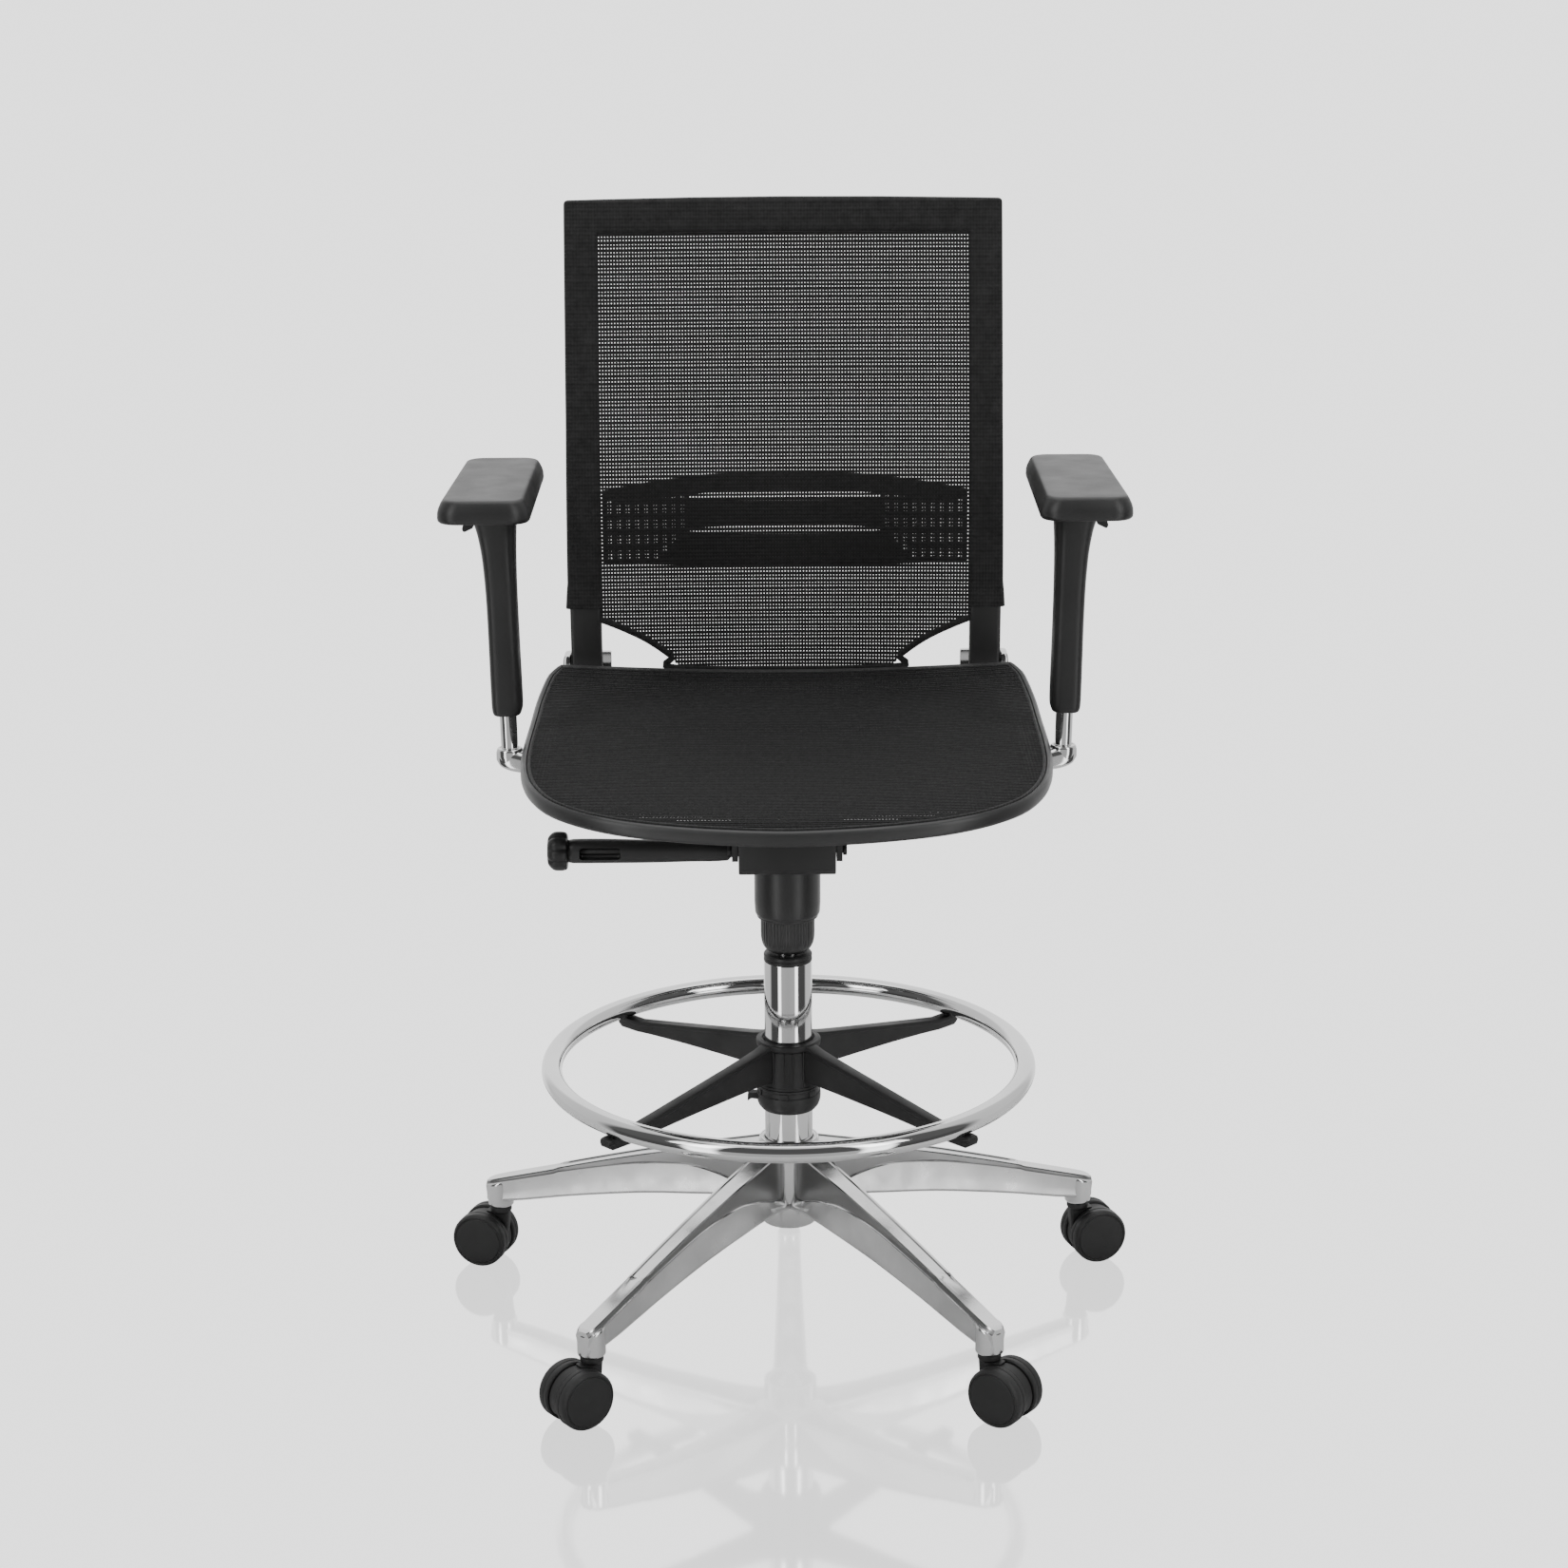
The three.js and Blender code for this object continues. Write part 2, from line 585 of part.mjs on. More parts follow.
// A thin slab over the frame, made of rows of points from the edge to the middle.
function seatMesh() {
  const count = SEAT_RIM.sides;
  const edge = seatOutline(SEAT_RIM.width + 2, count);
  const inward = (k) => edge.map((p) => point(p.x * k, SEAT_MIDDLE_Y + (p.y - SEAT_MIDDLE_Y) * k, 0));
  const rows = [[seatOutline(6.5, count), 0], [inward(1), 0], [inward(0.72), 4], [inward(0.4), 7]];
  const positions = [];
  const index = [];
  const layer = (drop) => {
    const start = positions.length / 3;
    for (const [row, sag] of rows) {
      for (const p of row) positions.push(p.x, p.y, seatHeight(p, sag) - drop);
    }
    positions.push(0, SEAT_MIDDLE_Y, seatHeight(point(0, SEAT_MIDDLE_Y, 0), 8) - drop);
    return start;
  };
  const upper = layer(0);
  const lower = layer(SEAT_RIM.mesh);
  const middle = rows.length * count;
  const quad = (a, b, c, d) => index.push(a, b, c, a, c, d);
  for (let j = 0; j < count; j += 1) {
    const k = (j + 1) % count;
    for (let i = 0; i < rows.length - 1; i += 1) {
      const [near, far] = [i * count, (i + 1) * count];
      quad(upper + near + j, upper + near + k, upper + far + k, upper + far + j);
      quad(lower + near + k, lower + near + j, lower + far + j, lower + far + k);
    }
    const last = middle - count;
    index.push(upper + last + j, upper + last + k, upper + middle);
    index.push(lower + last + k, lower + last + j, lower + middle);
    quad(upper + k, upper + j, lower + j, lower + k);
  }
  const g = new THREE.BufferGeometry();
  g.setAttribute('position', new THREE.Float32BufferAttribute(positions, 3));
  g.setIndex(index);
  return mesh('seat_mesh', closed(g), MESH_CLOTH());
}

// Carrier: two rails beside the mechanism, cross bars, four arms out to the rim and two pivot ears.
function seatPlate() {
  const { y: axisY, z: axisZ } = SEAT_AXIS;
  const rails = [-74, 74].map((x) => box(x - 8, x + 8, -92, 148, 560, 565));
  const crossBars = [box(-82, 82, -92, -70, 560, 565), box(-82, 82, 134, 148, 560, 565)];
  const stations = [[70, 560, 565], [110, 562, 567], [200, 581, 586], [240, 591, 596]];
  const arms = [[-72, -1], [-72, 1], [92, -1], [92, 1]].map(([y, s]) => loft(stations.map(([x, low, high]) => [
    point(s * x, y - 14, low), point(s * x, y + 14, low),
    point(s * x, y + 14, high), point(s * x, y - 14, high),
  ])));
  const ears = [-52, 52].map((x) => box(x - 3, x + 3, axisY - 10, axisY + 10, axisZ - 10, 562));
  const bore = rodAlong('x', 4 + GAP, 140, 0, axisY, axisZ);
  return mesh('seat_plate', cut(joined(...rails, ...crossBars, ...arms, ...ears), bore), DARK_PAINT());
}

// ---- Armrest, drawn on the seated person's left ----

// A section square to X, with its four corners cut off: place, half depth and half height.
function chamferedBar([x, y, z, w, h]) {
  return [
    point(x, y - w, z - h + 3), point(x, y - w + 3, z - h),
    point(x, y + w - 3, z - h), point(x, y + w, z - h + 3),
    point(x, y + w, z + h - 3), point(x, y + w - 3, z + h),
    point(x, y - w + 3, z + h), point(x, y - w, z + h - 3),
  ];
}

function armBracket() {
  const { y, footX, footZ } = ARM;
  const stations = [
    [130, y, 569, 22, 6], [190, y, 573, 22, 7], [240, y, 582, 19, 8],
    [268, y, 590, 15, 9], [284, y, 594, 13, 10],
  ];
  const elbow = turned([
    [0, 583], [9, 583], [13, 587], [13, footZ - 2], [11, footZ], [0, footZ],
  ], 18).translate(footX, y, 0);
  const hole = rod(ARM.tubeRadius + 0.6, 588, 620, 14).translate(footX, y, 0);
  return mesh('arm_bracket_left', cut(joined(loft(stations.map(chamferedBar)), elbow), hole), ALUMINIUM());
}

// The post leans out a little, so its pieces share one turned group.
function leaning(...pieces) {
  const post = group(...pieces);
  post.position.set(ARM.footX, ARM.y, ARM.footZ);
  post.rotation.y = Math.atan((ARM.topX - ARM.footX) / (ARM.topZ - ARM.footZ));
  return post;
}

function armTube() {
  return mesh('arm_tube_left', rod(ARM.tubeRadius, -14, 214, 14), CHROME());
}

// [height above the foot, half width in X, half depth in Y, shift in X]
const ARM_SLEEVE_STATIONS = [
  [37, 11, 15, 0], [41, 14, 19, 0], [49, 15, 21, 0], [150, 15.4, 22, 0],
  [200, 17, 25, 0.5], [232, 20, 32, 2], [246, 22, 38, 3],
];

function armSleeve() {
  const sides = 12;
  const sections = ARM_SLEEVE_STATIONS.map(([h, rx, ry, shift]) => Array.from({ length: sides }, (_, i) => {
    const a = ((i + 0.5) / sides) * 2 * Math.PI;
    const c = Math.cos(a);
    const s = Math.sin(a);
    const round = (v) => Math.sign(v) * Math.abs(v) ** 0.7;
    return point(shift + rx * round(c), ry * round(s), h);
  }));
  const bore = rod(ARM.tubeRadius + 0.6, 20, 240, 14);
  return mesh('arm_sleeve_left', cut(loft(sections), bore), BLACK_PLASTIC());
}

function armTrigger() {
  const outline = new THREE.Shape([[26, 243], [31, 243], [36, 228], [34, 225], [25, 229], [23.5, 232]]
    .map(([x, z]) => new THREE.Vector2(x, z)));
  const g = new THREE.ExtrudeGeometry(outline, { depth: 16, bevelEnabled: false });
  return mesh('arm_trigger_left', closed(g.rotateX(Math.PI / 2).translate(0, 8, 0)), BLACK_PLASTIC());
}

function armPadPlate() {
  const outline = new THREE.Shape();
  outline.absellipse(0, 0, 32, 78, 0, 2 * Math.PI);
  const g = new THREE.ExtrudeGeometry(outline, { depth: 4, bevelEnabled: false, curveSegments: 10 });
  return mesh('arm_pad_plate_left', closed(g.translate(PAD.x - 1, 18, PAD.bottom - GAP - 4)), DARK_PAINT());
}

// The pad's outline has round corners; its layers swell towards the middle of its thickness.
function armPad() {
  const { x, front, rear, bottom, top, frontWidth, rearWidth } = PAD;
  const corner = 20;
  const outline = (inset) => {
    const f = frontWidth / 2 - inset;
    const r = rearWidth / 2 - inset;
    const y0 = front + inset;
    const y1 = rear - inset;
    const c = corner - inset / 2;
    const corners = [
      [f - c, y0 + c, -90], [r - c, y1 - c, 0], [-r + c, y1 - c, 90], [-f + c, y0 + c, 180],
    ];
    return corners.flatMap(([cx, cy, start]) => [0, 30, 60, 90].map((step) => {
      const a = radians(start + step);
      return [x + cx + c * Math.cos(a), cy + c * Math.sin(a)];
    }));
  };
  const layers = [[2, bottom], [0, bottom + 4], [0, bottom + 13], [2.5, top - 3], [7, top]];
  const sections = layers.map(([inset, z]) => outline(inset).map(([px, py]) => point(px, py, z)));
  return mesh('arm_pad_left', loft(sections), SOFT_PAD());
}

function armrest() {
  return group(armBracket(), leaning(armTube(), armSleeve()), leaning(armTrigger()), armPadPlate(), armPad());
}

// ---- Back ----

// The front face of the back against height: it leans back and its lower third curves forwards.
const BACK_LEAN = new THREE.CatmullRomCurve3([
  point(0, 248, 600), point(0, 241, 660), point(0, 238, 730), point(0, 240, 800), point(0, 250, 880),
  point(0, 268, 970), point(0, 287, 1056), point(0, 304, 1132),
]).getPoints(48).map((p) => [p.z, p.y]);

function backFront(z) {
  return along(BACK_LEAN, z);
}

// Points around the back's frame: [x, z, rail width, direction across the rail]
function backFramePath() {
  const { halfTop, halfLow, top, bottom } = BACK;
  const path = [];
  const levels = [660, 704, 760, 820, 880, 940, 1000, 1060, 1108];
  const side = (s) => levels.map((z) => [s * along([[bottom, halfLow], [top, halfTop]], z), z, s, 0]);
  path.push([halfLow - 6, bottom, 0.72, -0.72], ...side(1), [halfTop, top, 0.72, 0.72]);
  for (const x of [150, 50, -50, -150]) path.push([x, top, 0, 1]);
  path.push([-halfTop, top, -0.72, 0.72], ...side(-1).reverse(), [-halfLow + 6, bottom, -0.72, -0.72]);
  for (const x of [-150, -50, 50, 150]) path.push([x, bottom, 0, -1]);
  return path;
}

function backFrame() {
  const { rail, depth } = BACK;
  const sections = backFramePath().map(([x, z, nx, nz]) => {
    const corner = nx !== 0 && nz !== 0;
    const reach = corner ? rail / 0.72 : rail;
    const low = nz < 0 && !corner;
    const across = low ? 22 : reach;
    const ix = x - nx * across;
    const iz = z - nz * across;
    const ex = x - nx * 3;
    const ez = z - nz * 3;
    return [
      point(x, backFront(z) + 4, z),
      point(ex, backFront(ez), ez),
      point(ix, backFront(iz), iz),
      point(ix, backFront(iz) + depth - 4, iz),
      point(ex, backFront(ez) + depth, ez),
      point(x, backFront(z) + depth - 4, z),
    ];
  });
  return mesh('back_frame', loopLoft(sections), BLACK_PLASTIC());
}

// The see-through panel, inside the frame and level with its front.
function backMesh() {
  const levels = [630, 645, 685, 740, 800, 860, 920, 980, 1040, 1095];
  const half = [[630, 118], [645, 134], [685, 194], [1095, 197]];
  const thick = BACK.mesh;
  const sections = levels.map((z) => {
    const w = along(half, z);
    const dip = (x) => 5 * (1 - (x / w) ** 2);
    const xs = [-w, -w / 2, 0, w / 2, w];
    const front = xs.map((x) => point(x, backFront(z) + 2 + dip(x), z));
    const rear = xs.map((x) => point(x, backFront(z) + 2 + dip(x) + thick, z)).reverse();
    return [...front, ...rear];
  });
  return mesh('back_mesh', loft(sections), MESH_CLOTH());
}

// Slatted support behind the mesh; it slides up and down between the side rails.
function lumbarSupport() {
  const { halfWidth, bottom, top, thick, behind } = LUMBAR;
  const columns = 12;
  const bow = (x) => 7 * (1 - (x / halfWidth) ** 2);
  const place = (x) => backFront((bottom + top) / 2) + behind + bow(x);
  const rise = (x) => 12 * (1 - (x / halfWidth) ** 2);
  const sections = Array.from({ length: columns + 1 }, (_, i) => {
    const x = -halfWidth + (2 * halfWidth * i) / columns;
    const y = place(x);
    const high = top - 12 + rise(x);
    return [point(x, y, bottom), point(x, y + thick, bottom), point(x, y + thick, high), point(x, y, high)];
  });
  const lens = (z, h) => {
    const shape = new THREE.Shape();
    shape.absellipse(0, 0, 108, h, 0, 2 * Math.PI);
    return new THREE.ExtrudeGeometry(shape, { depth: 80, bevelEnabled: false, curveSegments: 10 })
      .rotateX(Math.PI / 2).translate(0, place(0) + 40, z);
  };
  return mesh('lumbar_support', cut(loft(sections), lens(819, 6.5), lens(782, 5.5)), BLACK_PLASTIC());
}

// Polished carrier: from the tilt shaft back and round under the seat, up to the feet of the uprights.
function backBracket() {
  const stations = [
    [0, 142, 541, 12, 9], [60, 142, 541, 13, 9], [110, 160, 545, 16, 9],
    [160, 205, 555, 16, 9], [206, 246, 570, 16, 9],
  ];
  const others = stations.slice(1).reverse().map(([x, ...rest]) => [-x, ...rest]);
  const pieces = [loft([...others, ...stations].map(chamferedBar))];
  const cupInner = BACK.halfLow + 0.8;
  for (const s of [-1, 1]) {
    const level = (z, corners) => corners.map(([x, behind]) => point(s * x, backFront(z) + behind, z));
    const foot = [[563, 192, 228], [580, 188, 238], [603, 188, 241]]
      .map(([z, a, b]) => level(z, [[a, -2], [b, -2], [b, 26], [a, 26]]));
    const seat = BACK.depth + 0.6;
    const cup = [[600, 241], [632, 242], [646, 240]].map(([z, b]) => level(z, [
      [cupInner, -2], [b, -2], [b, 26], [190, 26], [190, seat], [cupInner, seat],
    ]));
    pieces.push(box(s * 54 - 4.5, s * 54 + 4.5, TILT_AXIS.y - 12, 150, 529, 551));
    pieces.push(loft(foot), loft(cup));
  }
  const bore = rodAlong('x', 6 + GAP, 140, 0, TILT_AXIS.y, TILT_AXIS.z);
  return mesh('back_bracket', cut(joined(...pieces), bore), ALUMINIUM());
}

// ---- The chair ----

const armrestLeft = armrest();
const covers = coverPieces();

const chair = group(
  starBase(),
  columnPieces(),
  pistonPieces(),
  gasCylinder(),
  valvePin(),
  covers.upper,
  covers.lower,
  footRing(),
  footSpider(),
  footCollet(),
  footLockCollar(),
  casters(),
  mechanismHousing(),
  headedShaft('tilt_shaft', 6, 9, HOUSING.width + 23, TILT_AXIS),
  headedShaft('seat_pivot_shaft', 4, 6.5, HOUSING.width + 15, SEAT_AXIS),
  tiltSpring(),
  liftLever(),
  tensionPieces(),
  seatFrame(),
  seatMesh(),
  seatPlate(),
  armrestLeft,
  mirrored(armrestLeft),
  backFrame(),
  backMesh(),
  lumbarSupport(),
  backBracket(),
);
chair.position.y = FOOTPRINT_SHIFT;

export default group(chair);
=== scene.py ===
"""Looks of the drafting chair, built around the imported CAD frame.

Shapes are drawn in millimetres, with the gas column's axis at x = y = 0 and the floor at z = 0,
as in the part's source, and placed in the frame when their mesh is made.
"""
import json
import math
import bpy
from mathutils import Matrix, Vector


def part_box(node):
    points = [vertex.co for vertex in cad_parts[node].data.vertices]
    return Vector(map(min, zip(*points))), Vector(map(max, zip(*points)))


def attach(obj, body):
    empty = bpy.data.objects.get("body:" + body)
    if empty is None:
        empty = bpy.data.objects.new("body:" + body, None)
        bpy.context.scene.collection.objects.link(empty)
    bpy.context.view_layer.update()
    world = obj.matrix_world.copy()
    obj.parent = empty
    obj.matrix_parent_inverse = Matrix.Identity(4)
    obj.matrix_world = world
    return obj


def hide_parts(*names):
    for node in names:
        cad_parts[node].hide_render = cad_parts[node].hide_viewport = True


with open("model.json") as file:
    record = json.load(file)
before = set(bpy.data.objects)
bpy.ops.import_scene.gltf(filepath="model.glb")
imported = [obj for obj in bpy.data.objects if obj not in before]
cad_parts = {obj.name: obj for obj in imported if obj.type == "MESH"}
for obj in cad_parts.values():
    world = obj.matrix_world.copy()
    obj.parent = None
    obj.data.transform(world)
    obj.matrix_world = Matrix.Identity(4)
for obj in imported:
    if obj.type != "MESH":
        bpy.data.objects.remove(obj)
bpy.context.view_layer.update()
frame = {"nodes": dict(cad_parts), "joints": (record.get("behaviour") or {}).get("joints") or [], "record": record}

from types import SimpleNamespace

import bmesh
import bpy
from mathutils import Matrix, Vector

MM = 0.001
TUBE_LOW, TUBE_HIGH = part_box("column_tube")
AXIS_Y = (TUBE_LOW.y + TUBE_HIGH.y) / 2 / MM
BODY_OF = {n: body for body, nodes in frame["record"]["behaviour"]["bodies"].items() for n in nodes}
SLOT_OF = {s["node"]: s["material_slot"] for s in frame["record"]["subparts"]}
JOINT = {j["name"]: j for j in frame["joints"]}


def span(*nodes):
    """The box round CAD nodes, in millimetres from the column's axis and the floor."""
    corners = [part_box(n) for n in nodes]
    low = [min(c[0][i] for c in corners) / MM for i in range(3)]
    high = [max(c[1][i] for c in corners) / MM for i in range(3)]
    return SimpleNamespace(
        x0=low[0], x1=high[0], y0=low[1] - AXIS_Y, y1=high[1] - AXIS_Y, z0=low[2], z1=high[2],
        x=(low[0] + high[0]) / 2, y=(low[1] + high[1]) / 2 - AXIS_Y, z=(low[2] + high[2]) / 2)


# ---- shapes

class Shape:
    """Points, the faces between them, and each face's material number."""

    def __init__(self):
        self.points = []
        self.faces = []
        self.finish = []

    def add(self, points, faces, finish=0):
        start = len(self.points)
        self.points += [Vector(p) for p in points]
        self.faces += [tuple(start + i for i in f) for f in faces]
        self.finish += finish if isinstance(finish, list) else [finish] * len(faces)
        return self

    def join(self, other):
        return self.add(other.points, other.faces, list(other.finish))

    def moved(self, matrix):
        copy = Shape()
        return copy.add([matrix @ p for p in self.points], self.faces, list(self.finish))

    def shifted(self, x=0, y=0, z=0):
        return self.moved(Matrix.Translation((x, y, z)))

    def turned(self, degrees, axis="Z"):
        return self.moved(Matrix.Rotation(math.radians(degrees), 4, axis))

    def mirrored(self):
        return self.moved(Matrix.Scale(-1, 4, (1, 0, 0)))


def turns(count):
    """Angles evenly round a circle."""
    return [2 * math.pi * k / count for k in range(count)]


def oval(count, power):
    """Points round a unit circle, which gets squarer as the power goes down."""
    def squared(v):
        return math.copysign(abs(v) ** power, v)
    return [(squared(math.cos(a)), squared(math.sin(a))) for a in turns(count)]


def loft(sections, loop=False, caps=True, finish=None):
    """A skin over sections of equally many points; finish(row, column) may give a face's material number."""
    rows, columns = len(sections), len(sections[0])
    faces, numbers = [], []
    for i in range(rows if loop else rows - 1):
        j = (i + 1) % rows
        for a in range(columns):
            b = (a + 1) % columns
            faces.append((i * columns + a, i * columns + b, j * columns + b, j * columns + a))
            numbers.append(finish(i, a) if finish else 0)
    if caps and not loop:
        for i in (0, rows - 1):
            faces.append(tuple(i * columns + a for a in range(columns)))
            numbers.append(0)
    return Shape().add([p for s in sections for p in s], faces, numbers)


def softened(outline, radius, steps=3, closed=True):
    """An outline of 2-D points with its corners rounded; a third number in a point is its own radius."""
    count = len(outline)
    result = []
    for i, corner in enumerate(outline):
        here = Vector(corner[:2])
        reach = corner[2] if len(corner) > 2 else radius
        if reach <= 0 or (not closed and i in (0, count - 1)):
            result.append(tuple(here))
            continue
        before, after = Vector(outline[i - 1][:2]), Vector(outline[(i + 1) % count][:2])
        start = here + (before - here) * min(0.45, reach / max((before - here).length, 1e-6))
        end = here + (after - here) * min(0.45, reach / max((after - here).length, 1e-6))
        for k in range(steps + 1):
            t = k / steps
            result.append(tuple(start * (1 - t) ** 2 + here * 2 * t * (1 - t) + end * t * t))
    return result


def lathe(profile, radius=1.0, segments=96, ripple=None):
    """Points of [distance from Z, height], corners rounded, turned about Z.

    A profile that starts on the axis ends on it too; any other closes on itself.
    ripple(angle, distance, height) may change the distance.
    """
    solid = profile[0][0] == 0
    line = softened(profile, radius, closed=not solid)
    sections = []
    for a in turns(segments):
        reach = [(ripple(a, r, z) if ripple else r, z) for r, z in line]
        sections.append([(r * math.cos(a), r * math.sin(a), z) for r, z in reach])
    if not solid:
        return loft(sections, loop=True)
    points = [p for s in sections for p in s]
    rows = len(line)
    faces = []
    for s in range(segments):
        here, there = s * rows, (s + 1) % segments * rows
        faces += [(here + k, here + k + 1, there + k + 1, there + k) for k in range(rows - 1)]
    return Shape().add(points, faces)


def block(x0, x1, y0, y1, z0, z1, radius=1.0):
    """A box with every edge rounded, as a loft of rounded rectangles in Z."""
    def ring(inset, z):
        left, right, front, rear = x0 + inset, x1 - inset, y0 + inset, y1 - inset
        corners = [(left, front), (right, front), (right, rear), (left, rear)]
        return [(x, y, z) for x, y in softened(corners, radius * 1.5)]
    return loft([ring(radius, z0), ring(radius * 0.3, z0 + radius * 0.3), ring(0, z0 + radius),
                 ring(0, z1 - radius), ring(radius * 0.3, z1 - radius * 0.3), ring(radius, z1)])


def eased(table, x):
    """A smooth curve through [input, output] pairs."""
    if x <= table[0][0]:
        return table[0][1]
    if x >= table[-1][0]:
        return table[-1][1]
    i = next(k for k in range(1, len(table)) if x <= table[k][0])

    def slope(k):
        a, b = table[max(k - 1, 0)], table[min(k + 1, len(table) - 1)]
        return (b[1] - a[1]) / (b[0] - a[0])
    (x0, y0), (x1, y1) = table[i - 1], table[i]
    w = x1 - x0
    t = (x - x0) / w
    return (y0 * (2 * t ** 3 - 3 * t ** 2 + 1) + y1 * (3 * t ** 2 - 2 * t ** 3)
            + slope(i - 1) * w * (t ** 3 - 2 * t ** 2 + t) + slope(i) * w * (t ** 3 - t ** 2))


def refined(stations, steps):
    """Rows of numbers with smooth rows put between them, the first number being how far along each is."""
    tables = [[(row[0], row[k]) for row in stations] for k in range(1, len(stations[0]))]
    places = []
    for a, b in zip(stations, stations[1:]):
        places += [a[0] + (b[0] - a[0]) * k / steps for k in range(steps)]
    places.append(stations[-1][0])
    return [(x, *(eased(t, x) for t in tables)) for x in places]


def catmull(points, per_span, closed=False):
    """A smooth line through points."""
    count = len(points)
    line = []
    for i in range(count if closed else count - 1):
        near = [(i + k) % count if closed else min(max(i + k, 0), count - 1) for k in (-1, 0, 1, 2)]
        p = [Vector(points[n]) for n in near]
        for s in range(per_span):
            t = s / per_span
            line.append(0.5 * (2 * p[1] + (p[2] - p[0]) * t + (2 * p[0] - 5 * p[1] + 4 * p[2] - p[3]) * t * t
                               + (3 * p[1] - p[0] - 3 * p[2] + p[3]) * t ** 3))
    if not closed:
        line.append(Vector(points[-1]))
    return line


def evenly(line, count):
    """count points evenly spaced along a closed line."""
    ends = line + [line[0]]
    reach = [0.0]
    for a, b in zip(ends, ends[1:]):
        reach.append(reach[-1] + (b - a).length)
    result, k = [], 0
    for i in range(count):
        want = reach[-1] * i / count
        while reach[k + 1] < want:
            k += 1
        t = (want - reach[k]) / max(reach[k + 1] - reach[k], 1e-9)
        result.append(ends[k].lerp(ends[k + 1], t))
    return result


def tube(points, radius, sides=12, closed=False, flat=1.0, up=(0, 0, 1)):
    """A round or flattened tube along a line; flat is its height as a share of its width."""
    points = [Vector(p) for p in points]
    up = Vector(up)
    count = len(points)
    sections = []
    for i, p in enumerate(points):
        before = points[(i - 1) % count] if closed else points[max(i - 1, 0)]
        after = points[(i + 1) % count] if closed else points[min(i + 1, count - 1)]
        ahead = (after - before).normalized()
        side = ahead.cross(up).normalized()
        over = side.cross(ahead)
        sections.append([p + side * radius * math.cos(a) + over * radius * flat * math.sin(a)
                         for a in turns(sides)])
    return loft(sections, loop=closed)


def yarn(shape, points, up, half_width, half_thick):
    """A flat yarn of six sides along a line, added to a shape."""
    points = [Vector(p) for p in points]
    up = Vector(up)
    form = [(1, 0), (0.55, 1), (-0.55, 1), (-1, 0), (-0.55, -1), (0.55, -1)]
    sections = []
    for i, p in enumerate(points):
        ahead = (points[min(i + 1, len(points) - 1)] - points[max(i - 1, 0)]).normalized()
        side = ahead.cross(up).normalized()
        over = side.cross(ahead)
        sections.append([p + side * half_width * a + over * half_thick * b for a, b in form])
    shape.join(loft(sections))


def carved(shape, *cutters):
    """A shape with others cut out of it."""
    target = raw_object("carve_target", shape)
    scratch = [target]
    for k, cutter in enumerate(cutters):
        tool = raw_object(f"carve_tool_{k}", cutter)
        scratch.append(tool)
        change = target.modifiers.new(f"cut_{k}", "BOOLEAN")
        change.object = tool
        change.operation = "DIFFERENCE"
        change.solver = "EXACT"
    bpy.context.view_layer.update()
    cut = bpy.data.meshes.new_from_object(target.evaluated_get(bpy.context.evaluated_depsgraph_get()))
    result = Shape().add([Vector((v.co.x / MM, v.co.y / MM - AXIS_Y, v.co.z / MM)) for v in cut.vertices],
                         [tuple(p.vertices) for p in cut.polygons])
    for o in scratch:
        bpy.data.objects.remove(o)
    return result


def raw_object(name, shape):
    """A shape as a mesh object in metres, in the frame, with shared corners and faces pointing out."""
    data = bpy.data.meshes.new(name)
    data.from_pydata([(p.x * MM, (p.y + AXIS_Y) * MM, p.z * MM) for p in shape.points], [], shape.faces)
    for polygon, number in zip(data.polygons, shape.finish):
        polygon.material_index = number
    made = bmesh.new()
    made.from_mesh(data)
    bmesh.ops.remove_doubles(made, verts=made.verts, dist=2e-6)
    bmesh.ops.dissolve_degenerate(made, edges=made.edges, dist=1e-6)
    bmesh.ops.recalc_face_normals(made, faces=made.faces)
    made.to_mesh(data)
    made.free()
    return linked(name, data)


def linked(name, data):
    """A new object in the scene."""
    made = bpy.data.objects.new(name, data)
    bpy.context.scene.collection.objects.link(made)
    return made


def rounded(piece, width, degrees):
    """Bevels of a width in millimetres on every edge sharper than the angle."""
    edge = piece.modifiers.new("edges", "BEVEL")
    edge.width = width * MM
    edge.segments = 2
    edge.limit_method = "ANGLE"
    edge.angle_limit = math.radians(degrees)


def make(name, shape, materials, body, slot, replaces=(), bevel=0, angle=35):
    """A finished piece: its mesh, materials, body and the CAD nodes it stands for; the slot is not used."""
    piece = raw_object(name, shape)
    for m in materials if isinstance(materials, (list, tuple)) else [materials]:
        piece.data.materials.append(m)
    if bevel:
        rounded(piece, bevel, angle)
    piece.data.shade_smooth()
    piece.data.set_sharp_from_angle(angle=math.radians(angle))
    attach(piece, body)
    if replaces:
        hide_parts(*replaces)
    return piece


def stand_in(node, shape, materials, name=None, **options):
    """A piece that replaces one CAD node, on the same body."""
    return make(name or f"{node}_shape", shape, materials, BODY_OF[node], SLOT_OF[node], [node], **options)


def carry(node, material, bevel=0.5):
    """A CAD node that stays: the facets meet in rounded edges and it gets a material of its own."""
    piece = frame["nodes"][node]
    piece.data.materials.clear()
    piece.data.materials.append(material)
    if "custom_normal" in piece.data.attributes:
        piece.data.attributes.remove(piece.data.attributes["custom_normal"])
    piece.data.shade_smooth()
    weld = piece.modifiers.new("shared_corners", "WELD")
    weld.merge_threshold = 0.02 * MM
    rounded(piece, bevel, 35)
    split = piece.modifiers.new("crisp", "EDGE_SPLIT")
    split.split_angle = math.radians(40)


# ---- materials

